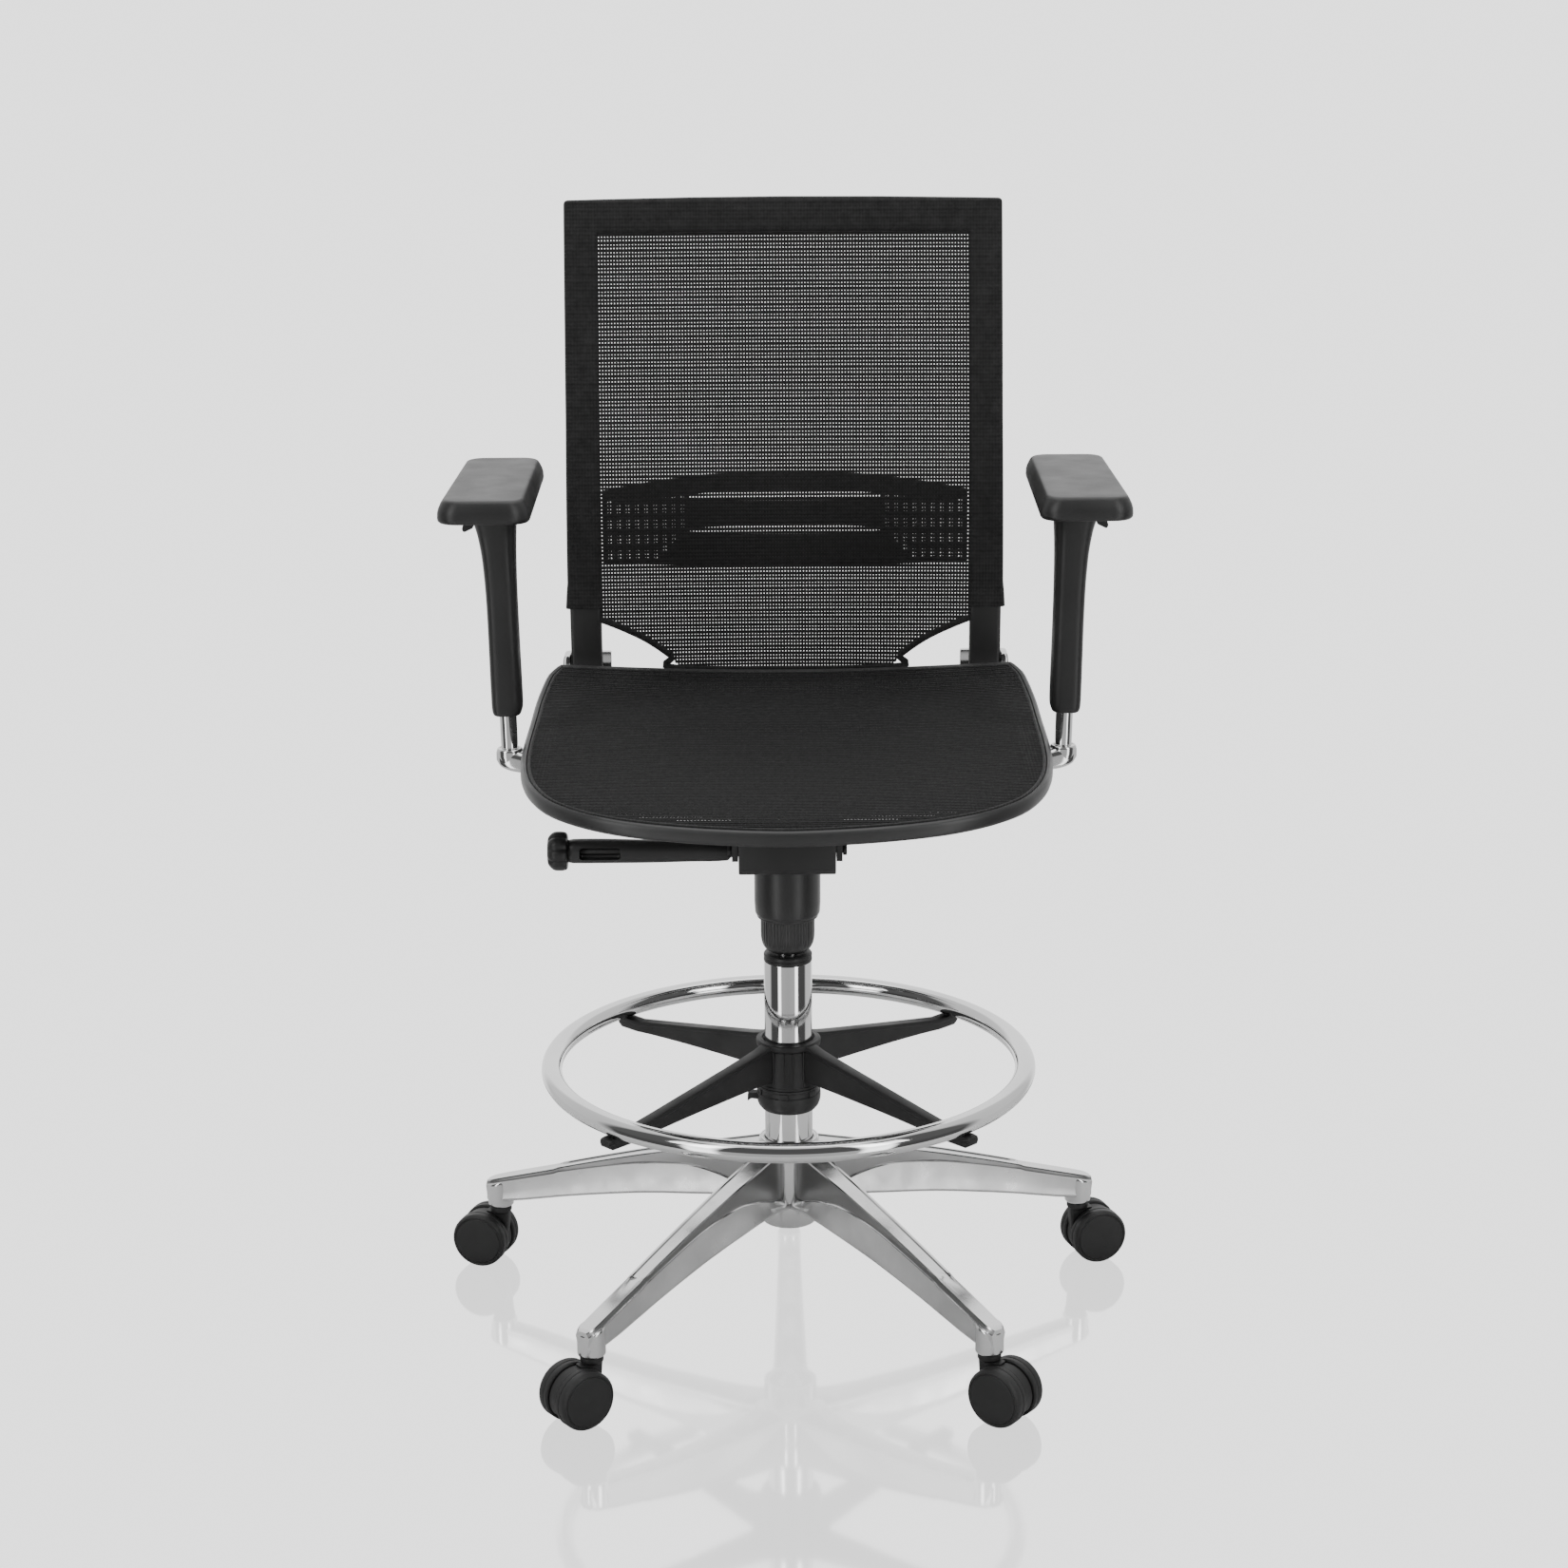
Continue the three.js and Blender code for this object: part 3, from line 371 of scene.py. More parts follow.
def nodes_of(name, **sockets):
    """A new material with its shader's sockets set, and short ways to add and join nodes."""
    material = bpy.data.materials.new(name)
    material.use_nodes = True
    tree = material.node_tree
    shader = tree.nodes["Principled BSDF"]
    for socket, value in sockets.items():
        shader.inputs[socket.replace("_", " ")].default_value = value
    place = tree.nodes.new("ShaderNodeTexCoord").outputs["Object"]
    return SimpleNamespace(material=material, tree=tree, shader=shader, place=place)


def node(m, kind, inputs=None, **settings):
    """One node: its settings, then its inputs by name or number, as values or as other nodes' outputs."""
    made = m.tree.nodes.new(kind)
    for key, value in settings.items():
        setattr(made, key, value)
    for key, value in (inputs or {}).items():
        if isinstance(value, bpy.types.NodeSocket):
            m.tree.links.new(value, made.inputs[key])
        else:
            made.inputs[key].default_value = value
    return made


def noise(m, scale, detail, stretch=None):
    """Noise with features of about 1/scale metres; stretch squeezes it along X, Y and Z."""
    place = m.place
    if stretch:
        place = node(m, "ShaderNodeMapping", {"Vector": place, "Scale": stretch}).outputs["Vector"]
    return node(m, "ShaderNodeTexNoise", {"Vector": place, "Scale": scale, "Detail": detail}).outputs["Fac"]


def between(m, value, low, high):
    """A noise's middle values spread from low to high."""
    start, end = NOISE_MIDDLE
    return node(m, "ShaderNodeMapRange", {"Value": value, "From Min": start, "From Max": end,
                                          "To Min": low, "To Max": high}).outputs["Result"]


def calc(m, operation, a, b=0.0):
    return node(m, "ShaderNodeMath", {0: a, 1: b}, operation=operation).outputs[0]


def tinted(m, value, dark, light):
    """The base colour: between two colours, or two greys given as numbers, by a noise."""
    ramp = node(m, "ShaderNodeValToRGB", {"Fac": value})
    for element, place, colour in zip(ramp.color_ramp.elements, NOISE_MIDDLE, (dark, light)):
        element.position = place
        element.color = (*(colour if isinstance(colour, tuple) else [colour] * 3), 1)
    m.tree.links.new(ramp.outputs["Color"], m.shader.inputs["Base Color"])


def rough(m, value, low, high):
    m.tree.links.new(between(m, value, low, high), m.shader.inputs["Roughness"])


def bumped(m, height, depth):
    """Bump of a depth in millimetres from a 0..1 height."""
    made = node(m, "ShaderNodeBump", {"Height": height, "Distance": depth * MM, "Strength": 1.0})
    m.tree.links.new(made.outputs["Normal"], m.shader.inputs["Normal"])


def surface(name, tint, gloss, relief, **sockets):
    """A material from three noises, each given by its scale and detail and then by what it drives:

    tint a dark and a light colour, gloss the least and greatest roughness, and relief a depth in
    millimetres and perhaps how the noise is squeezed along X, Y and Z.
    """
    m = nodes_of(name, **sockets)
    tinted(m, noise(m, *tint[:2]), *tint[2:])
    rough(m, noise(m, *gloss[:2]), *gloss[2:])
    scale, detail, depth, *stretch = relief
    bumped(m, noise(m, scale, detail, *stretch), depth)
    return m.material


def metal(name, tint, gloss, relief):
    return surface(name, tint, gloss, relief, Metallic=1.0)


def moulded(name, base, low, high, grain=0.02, size=1500):
    """Moulded plastic with a fine spark-eroded grain and slow changes of gloss."""
    return surface(name, (18, 4, base * 0.86, base * 1.14), (30, 4, low, high), (size, 5, grain),
                   Specular_IOR_Level=0.45)


def yarn_cloth(name, dark, light, sheen):
    """Polyester yarn: twisted fibres, a soft sheen and a little fading from yarn to yarn."""
    return surface(name, (160, 4, dark, light), (300, 3, 0.6, 0.8), (2600, 3, 0.10),
                   Sheen_Weight=sheen, Sheen_Roughness=0.45, Specular_IOR_Level=0.3)


def knit_cloth():
    """The same mesh drawn tight over the frame: a relief of warp columns and paired weft rows, which also darkens
    the colour in its hollows as painted shade.
    """
    m = nodes_of("knit_cloth", Sheen_Weight=0.2, Sheen_Roughness=0.45, Specular_IOR_Level=0.3)
    apart = node(m, "ShaderNodeSeparateXYZ", {"Vector": m.place}).outputs

    def wave(axis, length, height):
        turn = calc(m, "MULTIPLY", apart[axis], 2 * math.pi / (length * MM))
        return calc(m, "MULTIPLY", calc(m, "SINE", turn), height)

    rows = calc(m, "ADD", wave("Z", WEAVE_PAIR, 0.25), wave("Z", WEAVE_PAIR / 2, 0.35))
    relief = calc(m, "ADD", wave("X", WEAVE_COLUMN, 0.3), rows)
    # the colour follows the relief: painted shade in the hollows, lighter on the raised yarns, mixed with a slow
    # noise
    shade = calc(m, "ADD", calc(m, "MULTIPLY", relief, 0.22), noise(m, 70, 4))
    tinted(m, shade, 0.006, 0.015)
    rough(m, noise(m, 220, 3), 0.62, 0.82)
    bumped(m, calc(m, "ADD", relief, calc(m, "MULTIPLY", noise(m, 1800, 3), 0.3)), 0.35)
    return m.material


def floor_paint():
    """Plain white glossy floor: bright by itself, with a faint mirror image of what stands on it."""
    m = nodes_of("floor_paint")
    glow = node(m, "ShaderNodeEmission", {"Color": (1, 1, 1, 1), "Strength": FLOOR_GLOW})
    mirror = node(m, "ShaderNodeBsdfGlossy", {"Color": (0.5, 0.5, 0.5, 1), "Roughness": 0.06})
    both = node(m, "ShaderNodeAddShader", {0: glow.outputs[0], 1: mirror.outputs[0]})
    m.tree.links.new(both.outputs[0], m.tree.nodes["Material Output"].inputs["Surface"])
    return m.material


NOISE_MIDDLE = (0.3, 0.7)   # most of a noise's values lie between these
WEAVE_COLUMN = 3.27         # from one warp yarn to the next
WEAVE_PAIR = 8.1            # from one pair of weft rows to the next
FLOOR_GLOW = 1.45

# plated tube: almost a mirror, with faint smudges and the slow waves of a drawn tube
CHROME = metal("chrome", (9, 3, 0.74, 0.83), (38, 4, 0.035, 0.075), (22, 2, 0.02))
# buffed aluminium: brighter and duller patches, and the finest buffing lines
POLISHED = metal("polished_casting", (14, 3, 0.68, 0.78), (60, 5, 0.10, 0.19), (700, 3, 0.012, (1, 1, 0.15)))
# the flared feet of the legs: vibrated aluminium with a soft, cloudy sheen; its colour is raised as painted light,
# since the flare slopes up towards the light
LIT_SATIN = metal("satin_casting_painted_light", (26, 5, 0.62, 0.74), (45, 5, 0.26, 0.38), (1600, 4, 0.02))
# the upright sides of the legs: a darker copy of the aluminium, painted shade for the dark surroundings they
# reflect, with fine streaks in the bump and a casting haze
SHADED_SIDE_METAL = metal("painted_shade_casting", (12, 2, 0.25, 0.30), (20, 2, 0.30, 0.36), (900, 3, 0.02, (1, 1, 4)))
RIM_PLASTIC = moulded("rim_plastic", 0.030, 0.34, 0.44)
COVER_PLASTIC = moulded("cover_plastic", 0.030, 0.32, 0.42)
BLACK_PLASTIC = moulded("black_plastic", 0.019, 0.38, 0.5)
GLASS_NYLON = moulded("glass_filled_nylon", 0.012, 0.42, 0.56, 0.035, 1100)
WHEEL_NYLON = moulded("wheel_nylon", 0.015, 0.44, 0.58, 0.03, 1300)
PAD_SKIN = moulded("pad_skin", 0.022, 0.38, 0.46, 0.05, 900)
# black powder coat over pressed steel, with its orange peel
POWDER = surface("powder_coat", (12, 4, 0.014, 0.020), (40, 4, 0.36, 0.5), (420, 2, 0.05))
# zinc plate: slightly blue, with turning marks
STEEL = metal("plated_steel", (60, 4, (0.42, 0.43, 0.45), (0.58, 0.59, 0.61)), (120, 4, 0.24, 0.4),
              (900, 2, 0.02, (0.2, 0.2, 1)))
# oiled spring wire, dark, with drawing lines
SPRING = metal("spring_steel", (90, 4, 0.13, 0.22), (140, 4, 0.28, 0.45), (1200, 3, 0.02))
YARN = yarn_cloth("back_yarn", 0.006, 0.011, 0.18)
# the seat's copy of the yarn: its colour darkened as painted shade on the seat's top, and less sheen
SHADED_SEAT_YARN = yarn_cloth("seat_yarn_painted_shade", 0.0035, 0.007, 0.05)
KNIT = knit_cloth()


# ---- five-leg base

# distance from the axis, top, underside, half width of the top, depth of the crease, half width of the foot,
# depth of the panel
LEG = [
    (16, 184, 119.5, 13.5, 56, 26, 1.3), (34, 180, 119.5, 13.2, 51, 24, 1.3),
    (52, 175.8, 119.5, 12.9, 43, 21.5, 1.3), (76, 170.4, 117.5, 12.4, 30, 19.5, 1.3),
    (105, 164.2, 114, 11.6, 19, 18.2, 1.3), (141, 155, 110, 10.8, 12, 17.4, 1.3),
    (172, 147, 105.5, 10.2, 8.5, 16.4, 1.3), (225, 132, 96, 9.7, 6, 15, 1.3),
    (258, 122.2, 89.5, 9.4, 5, 14.4, 1.3), (264, 119.4, 88, 9.4, 5, 14.2, 0),
    (300, 109, 80, 9.4, 4.5, 13.2, 0), (322, 102.6, 76, 9.2, 4.2, 12.4, 0),
    (338, 97.7, 73, 8.4, 4, 11, 0), (344, 95.4, 73, 5.6, 4, 6.5, 0),
]
PANEL_END = 9           # the station where the recessed panel has run out
LEG_FALL = 0.305        # slope of a leg's top at its tip
SOCKET_SHOULDER = 86    # above this the socket's top slopes
LEG_TURNS = [36 + 72 * k - 90 for k in range(5)]


def leg_section(r, top, under, a, crease, b, panel):
    """A cut across a leg: from the middle of its top past the crease to the foot, then up the hollow."""
    edge = top - crease
    shadow = min(0.4 * crease, 3.2)
    half = [(a - 4.6, top - panel), (a - 3.4, top), (a - 1, top), (a, top - 1.2), (a + 0.2, top - shadow),
            (a + 0.7, edge + 1.4), (a + 1.6, edge + 0.2), (a + 2.8, edge - 0.7),
            ((a + 2.8 + b) / 2 - 0.8, (edge + under) / 2), (b - 0.5, under + 5), (b, under + 3),
            (b - 0.6, under + 0.7), (b - 1.6, under), (b - 3.6, under), (b - 4.4, under + 1.5),
            (a - 1.5, edge - 4), (a - 3, top - 7), (a - 5, top - 7.6)]
    return [(r, y, z) for y, z in half] + [(r, -y, z) for y, z in reversed(half)]


def leg_socket(reach):
    """The stem's socket under a leg's tip; its top slopes like the leg's."""
    socket = lathe([(5.9, 67), (12.6, 67), (14, 68.6), (14, SOCKET_SHOULDER), (14, 95, 2), (12.4, 97, 2),
                    (0.01, 97), (0.01, 88), (5.9, 88)], 1.0, 56)
    for p in socket.points:
        if math.hypot(p.x, p.y) > 6:
            p.z += max(0.0, (p.z - SOCKET_SHOULDER) / 11) * (-0.8 - LEG_FALL * p.x)
    return socket.shifted(reach)


def star_base():
    """Die-cast base: each leg has a recessed polished panel between two ridges, sides darkened at the top as
    painted shade and lightened on the flared foot as painted light, and a socket.
    """
    stations = refined(LEG[:PANEL_END], 4) + [LEG[PANEL_END]] + refined(LEG[PANEL_END + 1:], 3)
    sections = [leg_section(*s) for s in stations]
    count = len(sections[0])
    # the upper sides take the darker copy of the aluminium as painted shade, the flared foot the lighter one as
    # painted light
    upper_side, panel = {3, 4, 5}, {0, 1, 2, 6}
    polished, lit_flare, shaded_side = range(3)

    def finish(_, k):
        k = min(k, count - 2 - k) if k < count - 1 else 0
        return shaded_side if k in upper_side else polished if k in panel else lit_flare

    leg = loft(sections, finish=finish)
    ribs = Shape()
    for r in (96, 158, 220, 282):
        top, under, a = (eased([(s[0], s[k]) for s in LEG], r) for k in (1, 2, 3))
        ribs.join(block(r - 1.1, r + 1.1, -a + 2, a - 2, under + 7, top - 6.8, 0.4))
    tip = span("caster_rear_stem")
    socket = leg_socket(math.hypot(tip.x, tip.y))
    whole = lathe([(25.6, 93), (28.5, 93), (28.5, 116.4), (26.8, 117.4), (26.8, 118.6), (29.4, 120),
                   (30.4, 124), (31.6, 178), (31.6, 184.2, 3), (30, 187.2), (25.6, 187)], 1.0, 96)
    boss = lathe([(0.01, 119), (14, 119), (15, 120.4), (15, 178), (13.4, 180), (0.01, 180)], 0.8, 72)
    boss = carved(boss.shifted(24), lathe([(0, 100), (26, 100), (26, 200), (0, 200)], 0, 96))
    for angle in LEG_TURNS:
        for piece, more in ((leg, 0), (ribs, 0), (socket, 0), (boss, 36)):
            whole.join(piece.turned(angle + more))
    stand_in("star_base", whole, [POLISHED, LIT_SATIN, SHADED_SIDE_METAL], bevel=0.45, angle=28)


# ---- column and covers

FLUTES = 40             # round the lower cover
FLUTE_DEPTH = 0.55


def column():
    """Chromed stand tube, its black guide collar, the gas cylinder and the two cover sleeves."""
    tube_box = span("column_tube")
    outer = tube_box.x1
    stand_in("column_tube", lathe([(outer - 2, tube_box.z0), (outer, tube_box.z0), (outer, tube_box.z1),
                                   (outer - 2, tube_box.z1)], 0.6, 128), CHROME)
    collar = span("column_bushing")
    rest = tube_box.z1 + 0.3        # the collar's flange stands on the tube
    stand_in("column_bushing", lathe([
        (14.4, collar.z0), (22.6, collar.z0), (22.6, rest), (25, rest), (25, rest + 2.7), (24.3, rest + 3.1),
        (24.3, rest + 3.7), (25, rest + 4.1), (25, collar.z1 - 1.5), (23.6, collar.z1), (14.4, collar.z1)],
        0.4, 96), BLACK_PLASTIC)
    gas = span("gas_cylinder")
    wide, low, high = gas.x1, gas.z0, gas.z1
    stand_in("gas_cylinder", lathe([
        (5.4, low), (wide, low), (wide, high), (3.4, high), (3.4, high - 8), (12.8, high - 8),
        (12.8, low + 6), (5.4, low + 6)], 0.8, 96), CHROME)
    cover = span("cover_upper")
    wide, low, high = cover.x1, cover.z0, cover.z1
    stand_in("cover_upper", lathe([
        (wide - 2.6, low + 0.4), (wide - 4.8, low), (wide - 0.7, low + 4.4, 2), (wide, low + 16),
        (wide, high - 9), (wide - 0.5, high - 8), (wide - 0.5, high), (wide - 2.4, high),
        (wide - 2.4, low + 6)],
        0.7, 128), COVER_PLASTIC)
    sleeve = span("cover_lower")
    wide, low, high = sleeve.x1, sleeve.z0, sleeve.z1

    def flute(a, r, z):
        fade = max(0.0, min(1.0, (z - low - 5) / 8)) * (r > wide - 1.5)
        return r - FLUTE_DEPTH * fade * (0.5 - 0.5 * math.cos(FLUTES * a)) ** 2

    line = [(14.9, low), (19.5, low, 1.5), (23.2, low + 2.2, 2), (26.2, low + 7, 3), (27.6, low + 13, 3),
            (wide, low + 20), (wide, high), (wide - 2, high), (wide - 2, low + 20), (wide - 4.4, low + 12),
            (19.5, low + 5), (14.9, low + 3.6)]
    stand_in("cover_lower", lathe(line, 0.8, 320, flute), COVER_PLASTIC)


# ---- foot ring

def foot_ring():
    """Chromed ring on a four-armed moulded carrier, with the clamp's bell-shaped lock collar under it."""
    ring = span("foot_ring")
    bar = (ring.z1 - ring.z0) / 2
    middle = ring.x1 - bar
    loop = [(middle * math.cos(a), middle * math.sin(a), ring.z) for a in turns(200)]
    stand_in("foot_ring", tube(loop, bar, 36, closed=True), CHROME)

    spider = span("foot_ring_spider")
    under_ring = ring.z0 - 0.3
    # distance from the axis, top, underside, half width
    arm = [(29.2, 295.2, 255, 7.4), (34, 294.6, 255.2, 6.9), (46, 291.4, 255.4, 6.4), (72, 286.3, 254.6, 6.1),
           (110, 279.2, 253, 6), (150, 271.8, 251.2, 6), (200, 262.6, 248, 6), (228, under_ring, 245.6, 6.2),
           (252, under_ring, 245.4, 6.2), (257, under_ring - 0.6, 248.5, 5.8),
           (258.2, under_ring - 1.4, 250.4, 5.2)]
    sections = []
    for r, top, low, half in refined(arm[:8], 4) + arm[8:]:
        outline = [(-half, low), (half, low), (half, top - 5), (half + 0.8, top - 4.4),
                   (half + 0.8, top, 1.8), (-half - 0.8, top, 1.8), (-half - 0.8, top - 4.4),
                   (-half, top - 5)]
        sections.append([(r, y, z) for y, z in softened(outline, 0.5, 2)])
    spoke = loft(sections)
    top = spider.z1
    hub = lathe([(28.7, 247), (32.6, 247), (32.6, 249.4), (31.6, 250.2), (30, 288), (33.6, 290.4),
                 (33.6, top - 1.8), (32.2, top - 0.6), (29.8, top - 0.6), (28.8, top), (27.4, top),
                 (26.6, top - 2.5), (25.7, top - 2.8), (25.7, 268.6), (28.7, 268.4)], 0.7, 96)
    for k in range(8):
        hub.join(block(30, 31.6, -0.7, 0.7, 251, 288.6, 0.5).turned(9 * (-1) ** k + 90 * (k // 2)))
        hub.join(block(29.5, 32.2, -1.1, 1.1, 250, 289.2, 0.8).turned(30 * (-1) ** k + 90 * (k // 2)))
    screws = lathe([(0, 243.9), (2.6, 243.9), (3.4, 244.6), (3.4, 246), (0, 246)], 0.3, 24).shifted(x=246)
    for k in range(4):
        hub.join(spoke.turned(45 + 90 * k)).join(screws.turned(45 + 90 * k))
    stand_in("foot_ring_spider", hub, GLASS_NYLON, bevel=0.3)

    low, high, wide = 220, 246.7, 33.5
    bell = lathe([(28.7, low), (wide - 6, low, 1.5), (wide - 2, low + 3.4, 3), (wide, low + 10, 3),
                  (wide, high - 9), (wide - 1.6, high - 8), (wide - 1.6, high - 3),
                  (wide - 0.6, high - 2.4), (wide - 0.6, high), (28.7, high)], 0.7, 96)
    for k in range(6):
        bell.join(block(wide - 2.6, wide - 0.4, -5, 5, high - 8.6, high - 2.6, 0.6).turned(20 + 60 * k))
    outline = softened([(-wide + 3, low + 16), (-wide - 9, low + 16), (-wide - 9.6, low + 7),
                        (-wide - 5.8, low + 10), (-wide + 3, low + 9)], 1.2)
    tab = loft([[(x, y, z) for x, z in outline] for y in (-5, 5)])
    stand_in("foot_ring_lock_collar", bell.join(tab), BLACK_PLASTIC, bevel=0.3)
    carry("foot_ring_collet", BLACK_PLASTIC, 0.2)


# ---- casters

def caster(label):
    """Twin-wheel caster: plated stem, moulded hood with its neck, and two wheels with capped faces."""
    swivel = JOINT[f"caster_{label}_swivel"]["pos_m"]
    roll = JOINT[f"wheel_{label}_a_roll"]["pos_m"]
    x, y = swivel[0] / MM, swivel[1] / MM - AXIS_Y
    trail = math.hypot(roll[0] - swivel[0], roll[1] - swivel[1]) / MM
    heading = math.degrees(math.atan2(roll[1] - swivel[1], roll[0] - swivel[0]))
    radius = roll[2] / MM

    def placed(shape):
        return shape.turned(heading).shifted(x, y)

    stem = lathe([(0, 42), (3.4, 42), (3.4, 61.6), (8.8, 61.6), (8.8, 66.4), (5.4, 66.4), (5.4, 86),
                  (0, 86)], 0.4, 40)
    stand_in(f"caster_{label}_stem", placed(stem), STEEL)

    reach = radius - 2.2
    outline = [(trail + reach * math.cos(a), radius + reach * math.sin(a), 0)
               for a in map(math.radians, range(-32, 246, 6))]
    outline += [(trail - 13, 9.5, 2), (trail + 12, 10.5, 2)]
    form = softened(outline, 1.0, 2)

    def hood_ring(half, inset):
        return [(trail + (px - trail) * (1 - inset), half, radius + (pz - radius) * (1 - inset))
                for px, pz in form]

    hood = loft([hood_ring(-6, 0.03), hood_ring(-5.3, 0), hood_ring(5.3, 0), hood_ring(6, 0.03)])
    neck = lathe([(3.8, 58.8), (9.5, 58.8), (11.6, 61.2), (11.6, 65.6), (10.6, 66.6), (3.8, 66.6)], 0.8, 56)
    web = loft([[(px, py, z) for px, py in softened([(-w, -h), (w + 6, -h), (w + 6, h), (-w, h)], 3, 4)]
                for w, h, z in ((8, 5.6, 36), (9.2, 5.8, 50), (9.8, 6, 59.5))])
    axle = lathe([(0, -20), (3.9, -20), (3.9, 20), (0, 20)], 0.5, 24).turned(90, "X")
    hood.join(neck).join(web).join(axle.shifted(trail, 0, radius))
    stand_in(f"caster_{label}_housing", placed(hood), WHEEL_NYLON, bevel=0.3)

    wide = 18
    wheel = lathe([
        (4.8, 0), (24, 0), (24.6, 0.8), (28.6, 0.8), (radius, 2), (radius, 6.2), (radius - 0.7, 6.7),
        (radius - 0.7, 7.3), (radius, 7.8), (radius, 14, 1.5), (radius - 2.4, wide - 0.7, 0.7),
        (radius - 3.4, wide - 0.6), (radius - 3.9, wide - 1.3), (radius - 4.5, wide - 1.3),
        (radius - 5, wide - 0.5), (0.01, wide - 0.1), (0.01, wide - 2), (4.8, wide - 2)], 0.6, 80)
    for end, side in (("a", 1), ("b", -1)):
        facing = wheel.turned(-90 * side, "X").shifted(trail, 6.6 * side, radius)
        stand_in(f"caster_{label}_wheel_{end}", placed(facing), WHEEL_NYLON)


# ---- mechanism, lever and knob

def mechanism():
    """Pressed-steel tilt housing with its shafts, and the lift lever with the tension knob on its end."""
    carry("mechanism_housing", POWDER, 1.6)
    for n in ("tilt_shaft", "seat_pivot_shaft"):
        carry(n, POWDER, 0.5)
    carry("tilt_spring", SPRING, 0.2)
    for n in ("piston_rod", "retaining_clip", "thrust_bearing", "valve_pin"):
        carry(n, STEEL, 0.2)
    carry("tension_rod", BLACK_PLASTIC, 0.2)

    lever = span("lift_lever")
    y, z = (lever.y0 + lever.y1) / 2, 516
    # along X, half depth, half height, height of the middle
    stations = [(40, 7, 6, 0), (56, 7.4, 7, 0), (60, 8.8, 9, -1.4), (96, 9.6, 10, -1.2),
                (140, 11, 11.4, -0.6), (186, 12, 12, 0), (214, 11.6, 12, 0), (219.7, 10.6, 11.2, 0)]
    sections = [[(-reach, y - ry * c, z + middle + rz * s) for c, s in oval(48, 0.82)]
                for reach, ry, rz, middle in refined(stations, 4)]
    bore = lathe([(0, -260), (4.9, -260), (4.9, -30), (0, -30)], 0, 32).turned(90, "Y").shifted(0, y, z)
    window = block(-208, -167, y - 22, y - 3.2, z - 6.4, z + 6.4, 2.4)
    handle = carved(loft(sections), bore, window)
    stand_in("lift_lever", handle, COVER_PLASTIC, bevel=0.35, angle=32)

    knob = span("tension_knob")
    depth, wide = knob.x1 - knob.x0, (knob.z1 - knob.z0) / 2

    def lobes(a, r, _):
        return r if r < 8 else r - 1.9 * (0.5 - 0.5 * math.cos(8 * a)) ** 3 * min(1, (r - 8) / 8)

    cap = lathe([(4.9, 0), (14, 0), (wide - 1, 0.6, 3), (wide, 6), (wide, depth - 6, 5),
                 (wide - 5.5, depth - 0.6, 3), (9, depth, 2), (7.5, depth - 0.8), (0.01, depth - 0.8),
                 (0.01, 5), (4.9, 5)], 0.8, 192, lobes)
    stand_in("tension_knob", cap.turned(-90, "Y").shifted(knob.x1, y, z), BLACK_PLASTIC)


# ---- seat

# height of the seat's edge against Y, and half its outline from the front to the rear
SEAT_RISE = [(-270, 597), (-240, 603), (-190, 608), (-120, 611.5), (-30, 614), (70, 618), (150, 627.5),
             (225, 645)]
SEAT_HALF = [(0, -270), (60, -266), (113, -258), (159, -246), (196, -227), (226, -200), (244, -168),
             (257, -125), (264, -70), (266, 0), (265, 80), (263, 140), (256, 196), (246, 216), (226, 225),
             (0, 225)]
SEAT_REAR_DIP = 9       # the rear edge is lower in its middle
SEAT_MIDDLE_Y = -21
SEAT_RIM = 26
SEAT_WIDEST = 266
SEAT_SLACK = 5          # how far the middle of the cloth hangs
CLOTH_INSET = 8.5
CLOTH_DROP = 1.5        # the cloth lies this far under the rim's top
REAR_DENSITY = [(-270, 0), (40, 0), (110, 1), (230, 1)]     # the weft closes up towards the rear


def seat_outline(inset, count):
    """Points round the seat, moved in from its edge."""
    half = [(x, y, 0) for x, y in SEAT_HALF]
    other = [(-x, y, 0) for x, y, _ in reversed(half[1:-1])]
    edge = evenly(catmull(half + other, 24, closed=True), count)
    result = []
    for i, p in enumerate(edge):
        ahead = (edge[(i + 1) % count] - edge[i - 1]).normalized()
        result.append(Vector((p.x - ahead.y * inset, p.y + ahead.x * inset, 0)))
    return result


def seat_edge_height(x, y):
    across = max(0.0, 1 - (x / SEAT_WIDEST) ** 2)
    rearward = min(1.0, max(0.0, (y - 60) / 165))
    return eased(SEAT_RISE, y) - SEAT_REAR_DIP * rearward * rearward * (3 - 2 * rearward) * across


def seat_surface(x, y):
    """The cloth's height: it hangs a little between the sides of the frame."""
    across = max(0.0, 1 - (x / (SEAT_WIDEST - SEAT_RIM)) ** 2)
    along = max(0.0, 1 - ((y - SEAT_MIDDLE_Y) / 235) ** 2)
    return seat_edge_height(x, y) - SEAT_SLACK * across * along


def edges(outline):
    return zip(outline, outline[1:] + outline[:1])


def width_at(outline, y):
    """The greatest X of a closed outline at Y, or None past its ends."""
    found = [a.x + (b.x - a.x) * (y - a.y) / (b.y - a.y)
             for a, b in edges(outline) if (a.y - y) * (b.y - y) < 0]
    return max(found) if found else None


def length_at(outline, x):
    """The least and greatest Y of a closed outline at X, or None past its sides."""
    found = [a.y + (b.y - a.y) * (x - a.x) / (b.x - a.x)
             for a, b in edges(outline) if (a.x - x) * (b.x - x) < 0]
    return (min(found), max(found)) if found else None


def steps_between(low, high, step):
    """Even steps from low to high, none longer than step."""
    count = max(2, math.ceil((high - low) / step))
    return [low + (high - low) * k / count for k in range(count + 1)]


